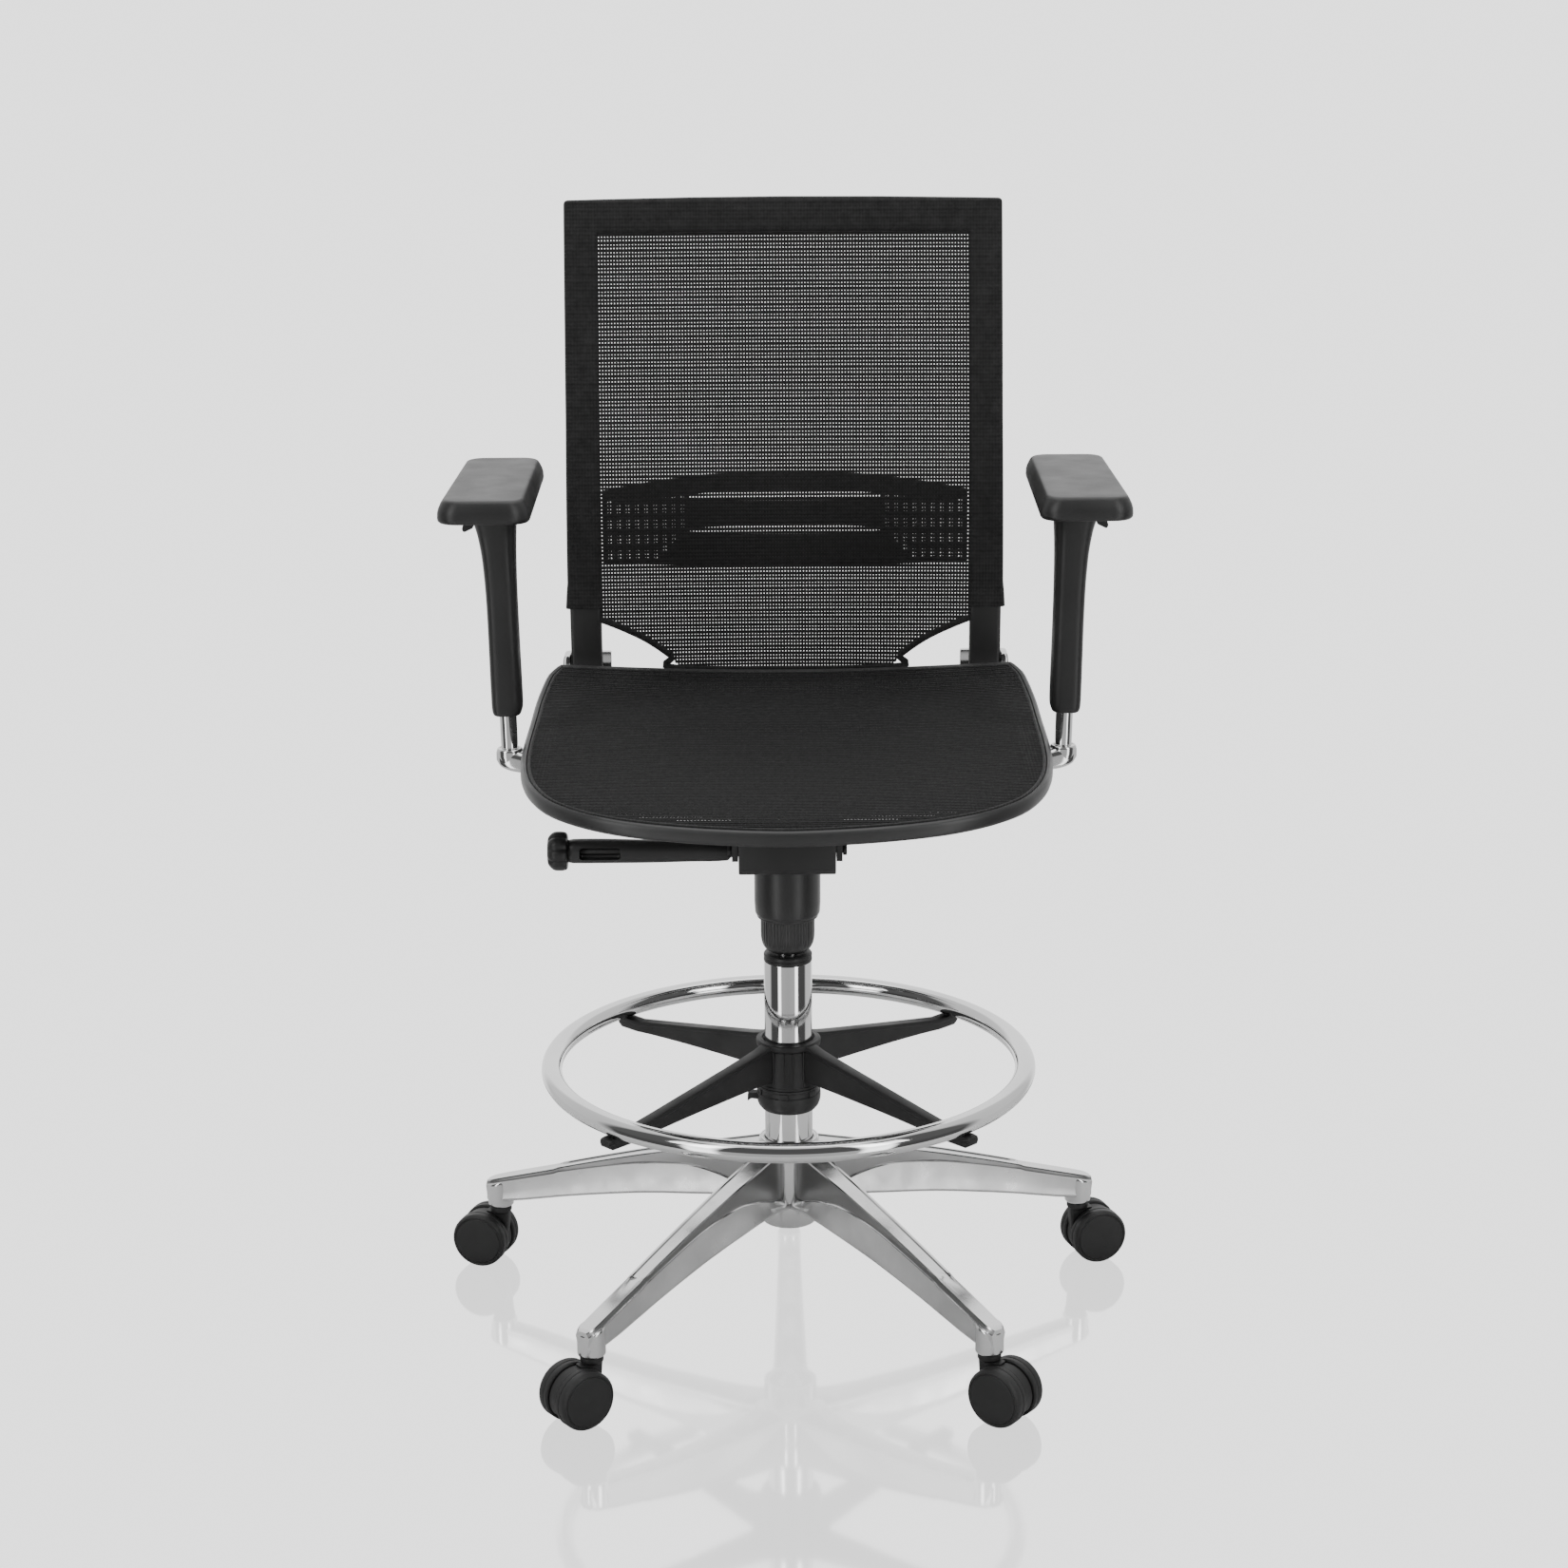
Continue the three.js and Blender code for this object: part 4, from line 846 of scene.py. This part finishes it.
def seat():
    """Moulded rim, welt and the woven seat cloth."""
    count = 168
    rings = {inset: seat_outline(inset, count) for inset in (0, 1, 3, 5.6, 6.8, 9, 14, SEAT_RIM)}
    # how far in from the edge, and how far below the edge's height
    profile = [(0, 4.5), (0, 10.5), (1, 13.4), (3, 15), (14, 14.6), (SEAT_RIM, 13), (SEAT_RIM, 4.6),
               (14, 3.6), (9, 3.6), (6.8, 3.2), (5.6, 0.6), (3, 0.1), (1, 1.4)]
    sections = []
    for i in range(count):
        outer, inner = (seat_edge_height(rings[inset][i].x, rings[inset][i].y) for inset in (0, SEAT_RIM))
        sections.append([(*rings[inset][i].xy, outer + (inner - outer) * (inset / SEAT_RIM) - drop)
                         for inset, drop in profile])
    stand_in("seat_frame", loft(sections, loop=True), RIM_PLASTIC, angle=42)

    welt_line = [(p.x, p.y, seat_edge_height(p.x, p.y) - CLOTH_DROP)
                 for p in seat_outline(CLOTH_INSET, count)]
    welt = tube(welt_line, 1.9, 10, closed=True, flat=0.9)
    welt = make("seat_cloth_welt", welt, KNIT, "seat", "mesh_cloth")

    outline = seat_outline(CLOTH_INSET, 240)
    cloth = Shape()
    columns = int(2 * SEAT_WIDEST / WEAVE_COLUMN)
    for k in range(columns + 1):
        x = (k - columns / 2) * WEAVE_COLUMN
        ends = length_at(outline, x)
        if ends and ends[1] - ends[0] > 12:
            line = [(x, y, seat_surface(x, y) - CLOTH_DROP) for y in steps_between(*ends, 17)]
            yarn(cloth, line, (0, 0, 1), 0.9, 0.36)
    pairs = int((SEAT_HALF[-1][1] - SEAT_HALF[0][1]) / WEAVE_PAIR)
    for k in range(pairs + 1):
        for offset, half_yarn, rise in ((0, 1.75, 0.3), (WEAVE_PAIR * 0.52, 1.5, 0.1)):
            y = SEAT_HALF[0][1] + k * WEAVE_PAIR + offset
            wide = width_at(outline, y)
            dense = eased(REAR_DENSITY, y)
            if wide and wide > 8:
                line = [(x, y, seat_surface(x, y) - CLOTH_DROP + rise)
                        for x in steps_between(-wide, wide, 24)]
                yarn(cloth, line, (0, 0, 1), half_yarn + 0.33 * dense, 0.57 + 0.2 * dense)
    panel = stand_in("seat_mesh", cloth, SHADED_SEAT_YARN, name="seat_cloth", angle=80)
    carry("seat_plate", POWDER, 1.2)


# ---- armrests

# height above the foot, half width, half depth, shift outwards
SLEEVE = [(37, 12.6, 18.4, 0), (38, 13.9, 19.8, 0), (42, 15, 21, 0), (53, 15.4, 21.4, 0), (150, 15.2, 22, 0),
          (196, 16.4, 25, 0.5), (222, 18.6, 29, 1.5), (238, 21, 34, 2.6), (246, 22, 38, 3)]
# along X, height, half height, half depth
ARM_BRACKET = [(130, 569, 5, 21), (190, 573.5, 6.4, 21), (236, 582, 8.4, 18.5), (262, 588.5, 10.6, 15.5),
               (280, 592, 11.6, 13.4), (291, 594.4, 9.5, 9.5), (295.4, 596, 5, 5)]
ARM_LEAN = math.atan(5 / 248)   # the posts lean outwards


def arm_pieces():
    """The left armrest's shapes by node, but for its pad, and the pin that its trigger turns on."""
    foot = Vector((282, 20, 604))
    tilt = Matrix.Translation(foot) @ Matrix.Rotation(ARM_LEAN, 4, "Y")

    post = lathe([(0, -13), (8.7, -13), (8.7, 214), (0, 214)], 0.6, 64).moved(tilt)

    sections = [[(shift + rx * c, ry * s, h) for c, s in oval(64, 0.5)]
                for h, rx, ry, shift in refined(SLEEVE, 5)]
    bottom = lathe([(9.2, 36.2), (11.5, 36.2), (11.5, 39), (9.2, 39)], 0.4, 48)
    sleeve = loft(sections).join(bottom).moved(tilt)

    outline = softened([(26, 243), (31, 243), (36, 228), (34, 225), (25, 229), (23.5, 232)], 1.4)
    trigger = loft([[(x, y, z) for x, z in outline] for y in (-8, 8)]).moved(tilt)
    pin = lathe([(0, -10), (2.1, -10), (2.1, 10), (0, 10)], 0.3, 20).turned(90, "X")
    pin = pin.shifted(25.5, 0, 238.5).moved(tilt)

    bracket = loft([[(x, foot.y + w * c, z + h * s) for c, s in oval(40, 0.6)]
                    for x, z, h, w in refined(ARM_BRACKET, 6)])
    cup = lathe([(9.3, 590), (12.2, 590), (13.4, 596), (13.4, 602.2), (12, 604), (10, 604), (9.3, 602)],
                0.9, 64)
    bracket.join(cup.shifted(foot.x, foot.y))
    return {"arm_tube": post, "arm_sleeve": sleeve, "arm_trigger": trigger, "arm_bracket": bracket}, pin


def pad_shape():
    """Polyurethane pad: round corners, sides drawn in towards the top, a soft edge and a slight crown."""
    pad = span("arm_pad_left")
    x, front, rear, bottom, top = pad.x, pad.y0, pad.y1, pad.z0, pad.z1
    front_half = (pad.x1 - pad.x0) / 2
    rear_half, corner = front_half - 3, 20

    def ring(inset, z):
        f, r, c = front_half - inset, rear_half - inset, corner - inset / 2
        y0, y1 = front + inset, rear - inset
        points = []
        centres = ((f - c, y0 + c), (r - c, y1 - c), (-r + c, y1 - c), (-f + c, y0 + c))
        for quarter, (cx, cy) in enumerate(centres):
            for k in range(9):
                a = math.radians(90 * (quarter - 1) + 90 * k / 8)
                points.append((x + cx + c * math.cos(a), cy + c * math.sin(a), z))
        return points

    rows = [(12, bottom + 1.2), (5, bottom), (2, bottom + 0.4), (0.5, bottom + 2), (0, bottom + 5),
            (0.3, bottom + 10), (1.4, top - 9), (3, top - 5.4), (4.2, top - 3), (5.3, top - 1.5),
            (6.8, top - 0.55), (9.4, top - 0.15), (20, top)]
    return loft([ring(inset, z) for inset, z in rows])


def armrests():
    """Both armrests, the right one being the left one's mirror image."""
    shapes, pin = arm_pieces()
    finish = {"arm_tube": CHROME, "arm_sleeve": BLACK_PLASTIC, "arm_trigger": BLACK_PLASTIC,
              "arm_bracket": POLISHED}
    for side in ("left", "right"):
        def facing(shape):
            return shape if side == "left" else shape.mirrored()
        for part, shape in shapes.items():
            stand_in(f"{part}_{side}", facing(shape), finish[part], angle=40)
        make(f"arm_trigger_pin_{side}", facing(pin), STEEL, BODY_OF[f"arm_sleeve_{side}"], "steel")
        pad = stand_in(f"arm_pad_{side}", facing(pad_shape()), PAD_SKIN, angle=60)
        carry(f"arm_pad_plate_{side}", POWDER, 0.8)


# ---- back

# height against the Y of the back's front face
BACK_LEAN = [(600, 248), (660, 241), (730, 238), (800, 240), (880, 250), (970, 268), (1056, 287), (1132, 304)]
BACK_TOP = 1131.6
BACK_HALF = 233
BACK_DEPTH = 16
RAIL = 34               # width of the frame's bars
CORNER = 4
CROWN = 2.4             # the top rail rises this much in its middle
SLEEVE_END = 700        # the cloth sleeve ends here on the uprights
PANEL_TOP = 1098
# height against half the width of the see-through panel
PANEL_HALF = [(630, 112), (644, 124), (663, 150), (677, 178), (686, 200), (1098, 197)]


def back_front(z):
    return eased(BACK_LEAN, z)


def back_slope(z):
    """The normal of the back's front face, pointing backwards and up or down."""
    rise = (back_front(z + 2) - back_front(z - 2)) / 4
    return Vector((0, 1, -rise)).normalized()


def straight(table, x):
    """Straight lines through [input, output] pairs."""
    i = next((k for k in range(1, len(table)) if x <= table[k][0]), len(table) - 1)
    (x0, y0), (x1, y1) = table[i - 1], table[i]
    return y0 + (y1 - y0) * min(1, max(0, (x - x0) / (x1 - x0)))


def rail_section(outer, inner, depth, grow=0.0, soft=4.0):
    """A cut across the back's frame, from a point of its outer edge to one of its inner edge."""
    across = Vector(inner) - Vector(outer)
    reach = across.length
    ahead = across / reach
    corners = [(-grow, -grow), (reach + grow, -grow), (reach + grow, depth + grow), (-grow, depth + grow)]
    outline = softened(corners, soft, 4)
    section = []
    for share, deep in outline:
        x, z = Vector(outer) + ahead * share
        section.append(Vector((x, back_front(z), z)) + back_slope(z) * deep)
    return section


def frame_path(low, rail):
    """Pairs of outer and inner points round the frame, from its foot at +X over the top to its other foot."""
    top = BACK_TOP - CROWN
    turn = (BACK_HALF - rail, top - rail)
    path = [((half_width(z), z), (half_width(z) - rail, z)) for z in steps_between(low, turn[1], 14)]
    path += [((half_width(z), z), turn) for z in steps_between(turn[1], top - CORNER, 10)[1:]]
    for k in range(1, 4):
        a = math.pi / 2 * k / 4
        outer = (BACK_HALF - CORNER + CORNER * math.cos(a), top - CORNER + CORNER * math.sin(a))
        path.append((outer, turn))

    def crown(x):
        return top + CROWN * (1 - (x / BACK_HALF) ** 2)
    path += [((x, crown(x)), turn) for x in steps_between(BACK_HALF - CORNER, turn[0], 10)[:-1]]
    path += [((x, crown(x)), (x, crown(x) - rail)) for x in steps_between(turn[0], 0, 16)]
    return path + [((-a, b), (-c, d)) for (a, b), (c, d) in reversed(path[:-1])]


def half_width(z):
    """Half the width of the back against height: it widens a little towards the foot."""
    return BACK_HALF + 1.6 * max(0.0, min(1.0, (900 - z) / 200))


def back_frame():
    """Moulded frame: bare uprights and foot rail, and a cloth sleeve drawn over the sides and the top."""
    depth = BACK_DEPTH
    uprights = [rail_section((BACK_HALF - 0.4, z), (BACK_HALF - RAIL, z), depth)
                for z in steps_between(606, SLEEVE_END, 14)]
    above = [rail_section(a, b, depth, -0.6) for a, b in frame_path(SLEEVE_END + 5, RAIL)]
    others = [[Vector((-p.x, p.y, p.z)) for p in section] for section in reversed(uprights)]
    shell = loft(uprights + above + [matched(section, above[-1]) for section in others])
    foot = [rail_section((x, 607), (x, 627), depth) for x in steps_between(-205, 205, 20)]
    stand_in("back_frame", shell.join(loft(foot)), BLACK_PLASTIC, angle=50)

    path = frame_path(SLEEVE_END, RAIL + 1.5)
    outer, inner = [], []
    for i, (a, b) in enumerate(path):
        end = min(i, len(path) - 1 - i)
        swell = 0.4 if end > 1 else 2.2 - 0.7 * end
        outer.append(rail_section(a, b, depth, swell, 5.5))
        inner.append(rail_section(a, b, depth, 0.0, 5.0))
    sleeve = loft(outer, caps=False).join(loft(inner, caps=False))
    count = len(outer[0])
    for row in (0, len(outer) - 1):
        points = outer[row] + inner[row]
        sleeve.add(points, [(k, (k + 1) % count, count + (k + 1) % count, count + k) for k in range(count)])
    sleeve = make("back_cloth_sleeve", sleeve, KNIT, "back", "mesh_cloth", angle=60)


def matched(section, like):
    """A section's points started and ordered so that each lies nearest to its fellow in another section."""
    count = len(section)
    orders = [[section[(start + k * way) % count] for k in range(count)]
              for start in range(count) for way in (1, -1)]
    return min(orders, key=lambda order: sum((a - b).length_squared for a, b in zip(order, like)))


def panel_point(x, z, lift=0.0):
    """A point of the stretched back cloth; its middle lies 5 mm further back."""
    half = straight(PANEL_HALF, z)
    dip = 5 * max(0.0, 1 - (x / half) ** 2)
    return Vector((x, back_front(z) + 2.6 + dip - lift, z))


def panel_bottom(x):
    """The lowest height of the panel at X: level in the middle, rising along the hems to the sides."""
    hem = sorted((half, z) for z, half in PANEL_HALF[:5])
    return PANEL_HALF[0][0] if abs(x) < hem[0][0] else straight(hem, abs(x))


def back_cloth():
    """Woven see-through panel: single warp yarns and paired weft yarns, a broad one and a fine one."""
    cloth = Shape()
    columns = int(2 * 199 / WEAVE_COLUMN)
    for k in range(columns + 1):
        x = (k - columns / 2) * WEAVE_COLUMN
        line = [panel_point(x, z) for z in steps_between(panel_bottom(x), PANEL_TOP, 18)]
        yarn(cloth, line, (0, 1, 0), 1.18, 0.22)
    pairs = int((PANEL_TOP - PANEL_HALF[0][0]) / WEAVE_PAIR)
    for k in range(pairs + 1):
        for offset, half_yarn, lift in ((0, 1.75, 0.28), (WEAVE_PAIR * 0.515, 1.38, 0.1)):
            z = PANEL_HALF[0][0] + 1 + k * WEAVE_PAIR + offset
            if z < PANEL_TOP:
                half = straight(PANEL_HALF, z)
                line = [panel_point(x, z, lift) for x in steps_between(-half, half, 26)]
                yarn(cloth, line, (0, 1, 0), half_yarn, 0.24)
    panel = stand_in("back_mesh", cloth, YARN, name="back_cloth", angle=80)

    places = (112, 124, 150, 178, 200)
    line = [panel_point(x, panel_bottom(x) + 1.5, 0.2) for x in [-x for x in reversed(places)] + list(places)]
    hem = tube(catmull(line, 6), 3.6, 12, flat=0.42, up=(0, 1, 0))
    hem = make("back_cloth_hem", hem, KNIT, "back", "mesh_cloth", angle=60)


def lumbar():
    """Moulded lumbar pad behind the cloth: solid bands round two lens slits in the middle, pierced wings."""
    box = span("lumbar_support")
    wide, low, high = box.x1, box.z0, box.z1
    solid, thick = 108, 5
    upper_slit, lower_slit = (819, 5.2), (782, 4.6)

    def depth(x):
        return back_front((low + high) / 2) + 10 + 6 * (1 - (x / wide) ** 2)

    def opening(slit, x):
        return slit[1] * math.sqrt(max(0.0, 1 - (x / solid) ** 2))

    def top_band(x):
        beyond = max(0.0, abs(x) - solid) / (wide - solid)
        return upper_slit[0] + opening(upper_slit, x) - 5 * beyond, high - 20 * (x / wide) ** 2

    def middle_band(x):
        return lower_slit[0] + opening(lower_slit, x), upper_slit[0] - opening(upper_slit, x)

    def bottom_band(x):
        foot = low + 5 * (x / wide) ** 2
        narrowing = lower_slit[0] - opening(lower_slit, x) - 1.1 * max(0.0, abs(x) - solid)
        return foot, max(foot + 4.5, narrowing)

    def band(edge, x_end):
        sections = []
        for x in steps_between(-x_end, x_end, 6):
            bottom, top = edge(x)
            y = depth(x)
            outline = softened([(y, bottom), (y + thick, bottom), (y + thick, top), (y, top)], 1.2, 2)
            sections.append([(x, py, pz) for py, pz in outline])
        return loft(sections)

    def end_cap(side):
        heights = (bottom_band(wide)[0], top_band(wide)[1])
        return band(lambda x: heights, 2).shifted(side * (wide - 2), depth(wide) - depth(0))

    pad = band(top_band, wide).join(band(bottom_band, wide)).join(band(middle_band, solid - 0.4))
    for side in (-1, 1):
        pad.join(end_cap(side))
        for k in range(38):
            x = side * (solid - 3 + k * 2.45)
            if abs(x) < wide - 1:
                bottom, top, y = bottom_band(x)[1], top_band(x)[0], depth(x) + 2.4
                half = 1.15 - 0.35 * (abs(x) - solid) / (wide - solid)
                line = [(x, y, z) for z in (bottom - 1, (top + bottom) / 2, top + 1)]
                yarn(pad, line, (0, 1, 0), half, 1.2)
        for k in range(21):
            z = 748 + k * 3.3
            line = [(side * x, depth(x) + 2.4, z) for x in steps_between(solid - 6, wide, 11)
                    if bottom_band(x)[1] < z < top_band(x)[0]]
            if len(line) > 2:
                yarn(pad, line, (0, 1, 0), 1.05, 1.0)
    stand_in("lumbar_support", pad, BLACK_PLASTIC, angle=50)


def back_bracket():
    """Polished carrier: arms from the tilt shaft, a bar round under the seat, and cups for the uprights."""
    # along X, Y, height, half depth, half height
    half = [(0, 142, 541, 12, 9), (60, 142, 541, 13, 9), (110, 160, 545, 16, 9), (160, 205, 555, 16, 9),
            (206, 246, 570, 16, 9)]
    stations = [(-x, *r) for x, *r in reversed(half[1:])] + half
    whole = loft([[(x, y + w * c, z + h * s) for c, s in oval(36, 0.55)]
                  for x, y, z, w, h in refined(stations, 6)])
    axis = JOINT["back_tilt"]["pos_m"]
    y, z = axis[1] / MM - AXIS_Y, axis[2] / MM
    outline = [(y - 12, z - 11, 8), (y - 12, z + 11, 8), (150, z + 11, 3), (150, z - 11, 3)]
    for s in (-1, 1):
        arm = [[(x, py, pz) for py, pz in softened(outline, 2, 5)] for x in (s * 49.5, s * 58.5)]
        whole.join(loft(arm))
        lower = []
        for height, a, b in refined([(563, 192, 228), (580, 188, 238), (604, 188, 241)], 5):
            deep = back_front(height)
            upright = softened([(a, deep - 2), (b, deep - 2), (b, deep + 26), (a, deep + 26)], 5, 4)
            lower.append([(s * px, py, height) for px, py in upright])
        whole.join(loft(lower))
        cup = []
        for height, b in refined([(602, 241), (632, 242), (644, 241), (647, 239.6)], 4):
            deep = back_front(height)
            inner = BACK_HALF + 0.7
            hook = softened([(inner, deep - 2, 1), (b, deep - 2, 3), (b, deep + 26, 5), (190, deep + 26, 5),
                             (190, deep + 18.2, 1), (inner, deep + 18.2, 1)], 2, 3)
            cup.append([(s * px, py, height) for px, py in hook])
        whole.join(loft(cup))
    stand_in("back_bracket", whole, POLISHED, bevel=0.6, angle=40)


# ---- stage, light and camera

CAMERA_DISTANCE = 3049.3   # in front of the column's axis
CAMERA_HEIGHT = 1423.2
CAMERA_ASIDE = -2.8
CAMERA_PITCH = 0.2731      # radians below level
CAMERA_ROLL = -0.0065
CAMERA_LENS = 71.56
BOUNCE_RADIUS = 0.75
# brightness of the studio against the angle from the camera's side, in degrees: level with the chair, and
# below it
WALLS = [(0, 0.10), (31, 0.10), (35, 3.0), (46, 3.0), (50, 0.10), (86, 0.12), (96, 0.8), (138, 0.9),
         (150, 1.5), (180, 1.5)]
GROUND = [(0, 0.5), (31, 0.55), (35, 3.4), (45, 3.4), (49, 0.08), (84, 0.08), (94, 0.75), (138, 0.8),
          (150, 1.5), (180, 1.5)]
CEILING = 1.0
BACKDROP = 2.2
BRIGHTEST = 5.0


def camera():
    data = bpy.data.cameras.new("camera")
    data.lens = CAMERA_LENS
    data.sensor_width = 36
    data.clip_end = 200
    made = linked("camera", data)
    place = Matrix.Translation((CAMERA_ASIDE * MM, (AXIS_Y - CAMERA_DISTANCE) * MM, CAMERA_HEIGHT * MM))
    level = Matrix.Rotation(math.pi / 2 - CAMERA_PITCH, 4, "X")
    made.matrix_world = place @ level @ Matrix.Rotation(CAMERA_ROLL, 4, "Z")
    bpy.context.scene.camera = made


def ground(name, corners, material):
    """A flat piece of ground that belongs to the stage."""
    data = bpy.data.meshes.new(name)
    data.from_pydata(corners, [], [tuple(range(len(corners)))])
    data.materials.append(material)
    piece = linked(name, data)
    return piece


def stage():
    """A wide pale floor that the camera sees, and a white disc under the chair that lights it from below."""
    size = 80
    floor = ground("studio_floor", [(-size, -size, 0), (size, -size, 0), (size, size, 0), (-size, size, 0)],
                   floor_paint())
    floor.visible_glossy = False
    floor.visible_diffuse = False
    white = nodes_of("bounce_white", Roughness=0.6, Base_Color=(0.8, 0.8, 0.8, 1))
    disc = ground("bounce_disc", [(BOUNCE_RADIUS * math.cos(a), BOUNCE_RADIUS * math.sin(a), -0.0005)
                                  for a in turns(64)], white.material)
    disc.visible_camera = False


def studio_world():
    """Soft boxes beside the camera, dark screens beyond them, pale walls behind and a bright ceiling."""
    world = bpy.data.worlds.new("studio")
    bpy.context.scene.world = world
    world.use_nodes = True
    m = SimpleNamespace(tree=world.node_tree)
    direction = node(m, "ShaderNodeTexCoord").outputs["Generated"]
    apart = node(m, "ShaderNodeSeparateXYZ", {"Vector": direction}).outputs
    aside = calc(m, "ABSOLUTE", calc(m, "ARCTAN2", apart["X"], calc(m, "MULTIPLY", apart["Y"], -1.0)))
    share = calc(m, "DIVIDE", aside, math.pi)
    lift = calc(m, "ARCSINE", apart["Z"])

    def pattern(stops):
        ramp = node(m, "ShaderNodeValToRGB", {"Fac": share}).color_ramp
        while len(ramp.elements) < len(stops):
            ramp.elements.new(0.5)
        for element, (degrees, value) in zip(ramp.elements, stops):
            element.position = degrees / 180
            element.color = (value / BRIGHTEST, value / BRIGHTEST, value / BRIGHTEST, 1)
        return m.tree.nodes[-1].outputs["Color"]

    def rise(start, end):
        return node(m, "ShaderNodeMapRange",
                    {"Value": lift, "From Min": math.radians(start), "From Max": math.radians(end)},
                    interpolation_type="SMOOTHSTEP").outputs["Result"]

    def mix(factor, low, high):
        mixed = node(m, "ShaderNodeMix", {"Factor": factor, "A": low, "B": high}, data_type="FLOAT")
        return mixed.outputs["Result"]

    level = mix(rise(-4, 3), pattern(GROUND), pattern(WALLS))
    light = mix(rise(52, 66), calc(m, "MULTIPLY", level, BRIGHTEST), CEILING)
    seen = node(m, "ShaderNodeLightPath").outputs["Is Camera Ray"]
    background = m.tree.nodes["Background"]
    background.inputs["Color"].default_value = (1, 1, 1, 1)
    m.tree.links.new(mix(seen, light, BACKDROP), background.inputs["Strength"])


def area_light(name, place, aim, width, height, watts):
    data = bpy.data.lights.new(name, "AREA")
    data.shape = "RECTANGLE"
    data.size = width
    data.size_y = height
    data.energy = watts
    made = linked(name, data)
    made.location = place
    made.rotation_euler = (Vector(aim) - Vector(place)).to_track_quat("-Z", "Y").to_euler()


def lights():
    """Soft boxes high at the front on both sides, and one overhead."""
    for name, x in (("front_left_box", -2.6), ("front_right_box", 2.6)):
        area_light(name, (x, -2.6, 2.6), (0, 0, 0.6), 1.4, 2.0, 25)
    area_light("overhead_box", (0, 0.2, 3.6), (0, 0, 0), 2.6, 2.6, 30)


# ---- the chair

camera()
stage()
studio_world()
lights()
star_base()
column()
foot_ring()
for caster_label in ("front_left", "side_left", "rear", "side_right", "front_right"):
    caster(caster_label)
mechanism()
seat()
armrests()
back_frame()
back_cloth()
lumbar()
back_bracket()
